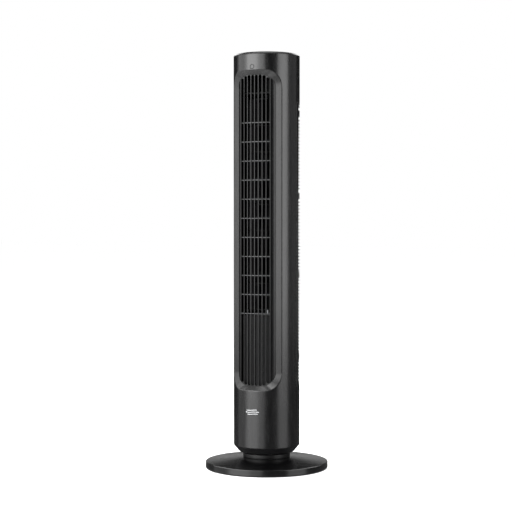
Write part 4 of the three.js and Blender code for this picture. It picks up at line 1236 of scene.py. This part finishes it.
# ---------- Assembly ----------
def dress_cad_nodes():
    """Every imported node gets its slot's material, but for two with their own."""
    for entry in frame["record"]["subparts"]:
        node = frame["nodes"][entry["node"]]
        node.data.materials.clear()
        material = SLOT_MATERIALS[entry["material_slot"]]
        node.data.materials.append(NODE_MATERIALS.get(entry["node"], material))


def build():
    dress_cad_nodes()
    foot_and_neck()
    feet()
    front_shell()
    rear_covers()
    seam_lips()
    outlet_skin()
    outlet_slats()
    outlet_ribs()
    rear_grille()
    fan_wheel()
    top_pieces()
    key_caps()
    handle_cup()
    cord_gland()
    power_key()
    symbols()


def symbols():
    key_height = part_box("key_speed")[1].z - KEY_DISH
    drawings = {
        "key_speed": fan_symbol(2.5 * MM),
        "key_mode": breeze_symbol(2.3 * MM),
        "key_timer": clock_symbol(2.4 * MM),
        "key_swing": swing_symbol(2.3 * MM),
    }
    for key, strokes in drawings.items():
        place = level_place(middle_of(key), key_height)
        symbol(key + "_icon", strokes, 0.35 * MM, place, ink, key + "_body", "gloss_black")
    power = middle_of("power_key")
    front = body_place(power.z, -0.1 * MM)
    mark = body_place(BREEZE_MARK_HEIGHT)
    lines = breeze_symbol(BREEZE_MARK_SIZE, 0.27, 0.04)
    symbol("breeze_mark", lines, 1.0 * MM, mark, ink, "tower", "satin_black")
    ring = [arc(0, 0, POWER_KEY_RADIUS + 0.9 * MM, 0, 360, 64)]
    around_key = body_place(power.z, 0.02 * MM)
    symbol("power_surround", ring, 0.8 * MM, around_key, gloss, "tower", "gloss_black")
    icon = power_symbol(1.9 * MM)
    symbol("power_icon", icon, 0.5 * MM, front, soft_ink, "power_key_body", "gloss_black")


# ---------- Camera, light and floor ----------
CAMERA_AZIMUTH = math.radians(26)
CAMERA_DISTANCE = 3.3436
CAMERA_HEIGHT = 0.5724
CAMERA_PITCH = math.radians(1.364)
CAMERA_YAW = math.radians(0.367)
CAMERA_LENS = 99.94


def round_about(azimuth, distance, height):
    return Vector((distance * math.sin(azimuth), -distance * math.cos(azimuth), height))


def camera():
    data = bpy.data.cameras.new("camera")
    data.lens = CAMERA_LENS
    data.sensor_width = 36
    data.clip_end = 60
    eye = bpy.data.objects.new("camera", data)
    eye.location = round_about(CAMERA_AZIMUTH, CAMERA_DISTANCE, CAMERA_HEIGHT)
    heading = CAMERA_AZIMUTH + CAMERA_YAW
    eye.rotation_euler = (math.pi / 2 - CAMERA_PITCH, 0, heading)
    bpy.context.scene.collection.objects.link(eye)
    bpy.context.scene.camera = eye


def softbox(name, azimuth, distance, low, high, width, radiance):
    """An upright rectangular light of an even brightness, at an azimuth from the camera's own."""
    data = bpy.data.lights.new(name, "AREA")
    data.shape = "RECTANGLE"
    data.size = width
    data.size_y = high - low
    data.energy = radiance * math.pi * width * (high - low)
    lamp = bpy.data.objects.new(name, data)
    lamp.location = round_about(CAMERA_AZIMUTH + math.radians(azimuth), distance, (low + high) / 2)
    facing = Vector((0, 0, lamp.location.z)) - lamp.location
    lamp.rotation_euler = facing.to_track_quat("-Z", "Y").to_euler()
    lamp.visible_camera = False
    bpy.context.scene.collection.objects.link(lamp)


def tall_light(name, azimuth, distance, width, radiance, middle_share, lower_share):
    """A light from below the floor's level to the ceiling, brighter towards the top."""
    for part, low, high, share in (
        ("upper", 0.8, 3.0, 1.0), ("middle", 0.1, 0.8, middle_share),
        ("lower", -1.5, 0.1, lower_share),
    ):
        softbox(f"{name}_{part}", azimuth, distance, low, high, width, radiance * share)


def overhead(name, height, size, radiance):
    data = bpy.data.lights.new(name, "AREA")
    data.size = size
    data.energy = radiance * math.pi * size * size
    lamp = bpy.data.objects.new(name, data)
    lamp.location = (0, 0, height)
    lamp.visible_camera = False
    bpy.context.scene.collection.objects.link(lamp)


def floor_and_backdrop():
    bm = bmesh.new()
    size = 30
    corners = ((-size, -size), (size, -size), (size, size), (-size, size))
    bm.faces.new([bm.verts.new((x, y, -0.2 * MM)) for x, y in corners])
    floor = object_from(bm, "floor")
    paper = Surface("floor_paper")
    grain = paper.noise(3 * MM, 4)
    tone = paper.mixed(grain, (0.76, 0.76, 0.76), (0.8, 0.8, 0.8))
    paper.shader.inputs["Emission Color"].default_value = (1, 1, 1, 1)
    paper.shader.inputs["Emission Strength"].default_value = 0.86
    paper.bump(grain, 0.05 * MM)
    floor.data.materials.append(paper.finish(tone, paper.ranged(grain, 0, 1, 0.85, 0.95)))
    floor.visible_glossy = False
    floor.visible_shadow = False


def surroundings():
    """White behind the object; for everything else a dark room, paler underneath and overhead."""
    world = bpy.data.worlds.new("studio")
    bpy.context.scene.world = world
    world.use_nodes = True
    tree = world.node_tree
    tree.nodes.clear()
    add, link = tree.nodes.new, tree.links.new
    output = add("ShaderNodeOutputWorld")
    mix = add("ShaderNodeMixShader")
    room = add("ShaderNodeBackground")
    white = add("ShaderNodeBackground")
    path = add("ShaderNodeLightPath")
    direction = add("ShaderNodeTexCoord")
    parts = add("ShaderNodeSeparateXYZ")
    ramp = add("ShaderNodeValToRGB")
    shift = add("ShaderNodeMapRange")
    shift.inputs["From Min"].default_value = -1
    shift.inputs["From Max"].default_value = 1
    stops = [(0.0, 0.5), (0.36, 0.4), (0.44, 0.02), (0.7, 0.02), (0.85, 0.2), (1.0, 0.35)]
    elements = ramp.color_ramp.elements
    while len(elements) < len(stops):
        elements.new(0.5)
    for element, (place, level) in zip(elements, stops):
        element.position = place
        element.color = (level, level, level, 1)
    white.inputs["Color"].default_value = (1, 1, 1, 1)
    white.inputs["Strength"].default_value = 1.0
    link(direction.outputs["Generated"], parts.inputs[0])
    link(parts.outputs["Z"], shift.inputs["Value"])
    link(shift.outputs["Result"], ramp.inputs["Fac"])
    link(ramp.outputs["Color"], room.inputs["Color"])
    link(path.outputs["Is Camera Ray"], mix.inputs["Fac"])
    link(room.outputs[0], mix.inputs[1])
    link(white.outputs[0], mix.inputs[2])
    link(mix.outputs[0], output.inputs["Surface"])


def studio():
    floor_and_backdrop()
    surroundings()
    bpy.context.scene.view_settings.view_transform = "Standard"
    tall_light("left_wide", -43, 2.6, 3.6, 3.8, 0.96, 0.33)
    tall_light("left_heart", -51, 2.6, 1.9, 3.7, 0.96, 0.34)
    tall_light("left_wing", -96, 2.8, 1.9, 2.1, 0.9, 0.25)
    tall_light("right", 58, 2.6, 1.8, 4.4, 1.0, 0.3)
    softbox("right_card", 105, 3, 0, 2.4, 2.0, 0.35)
    softbox("back_card", 180, 3, 0, 0.75, 5, 0.42)
    softbox("back_high_left", -150, 3, 1.8, 3.4, 2.0, 3.5)
    softbox("back_high_right", 150, 3, 1.8, 3.4, 2.0, 3.5)
    overhead("top_softbox", 2.6, 1.6, 2.2)


camera()
build()
studio()
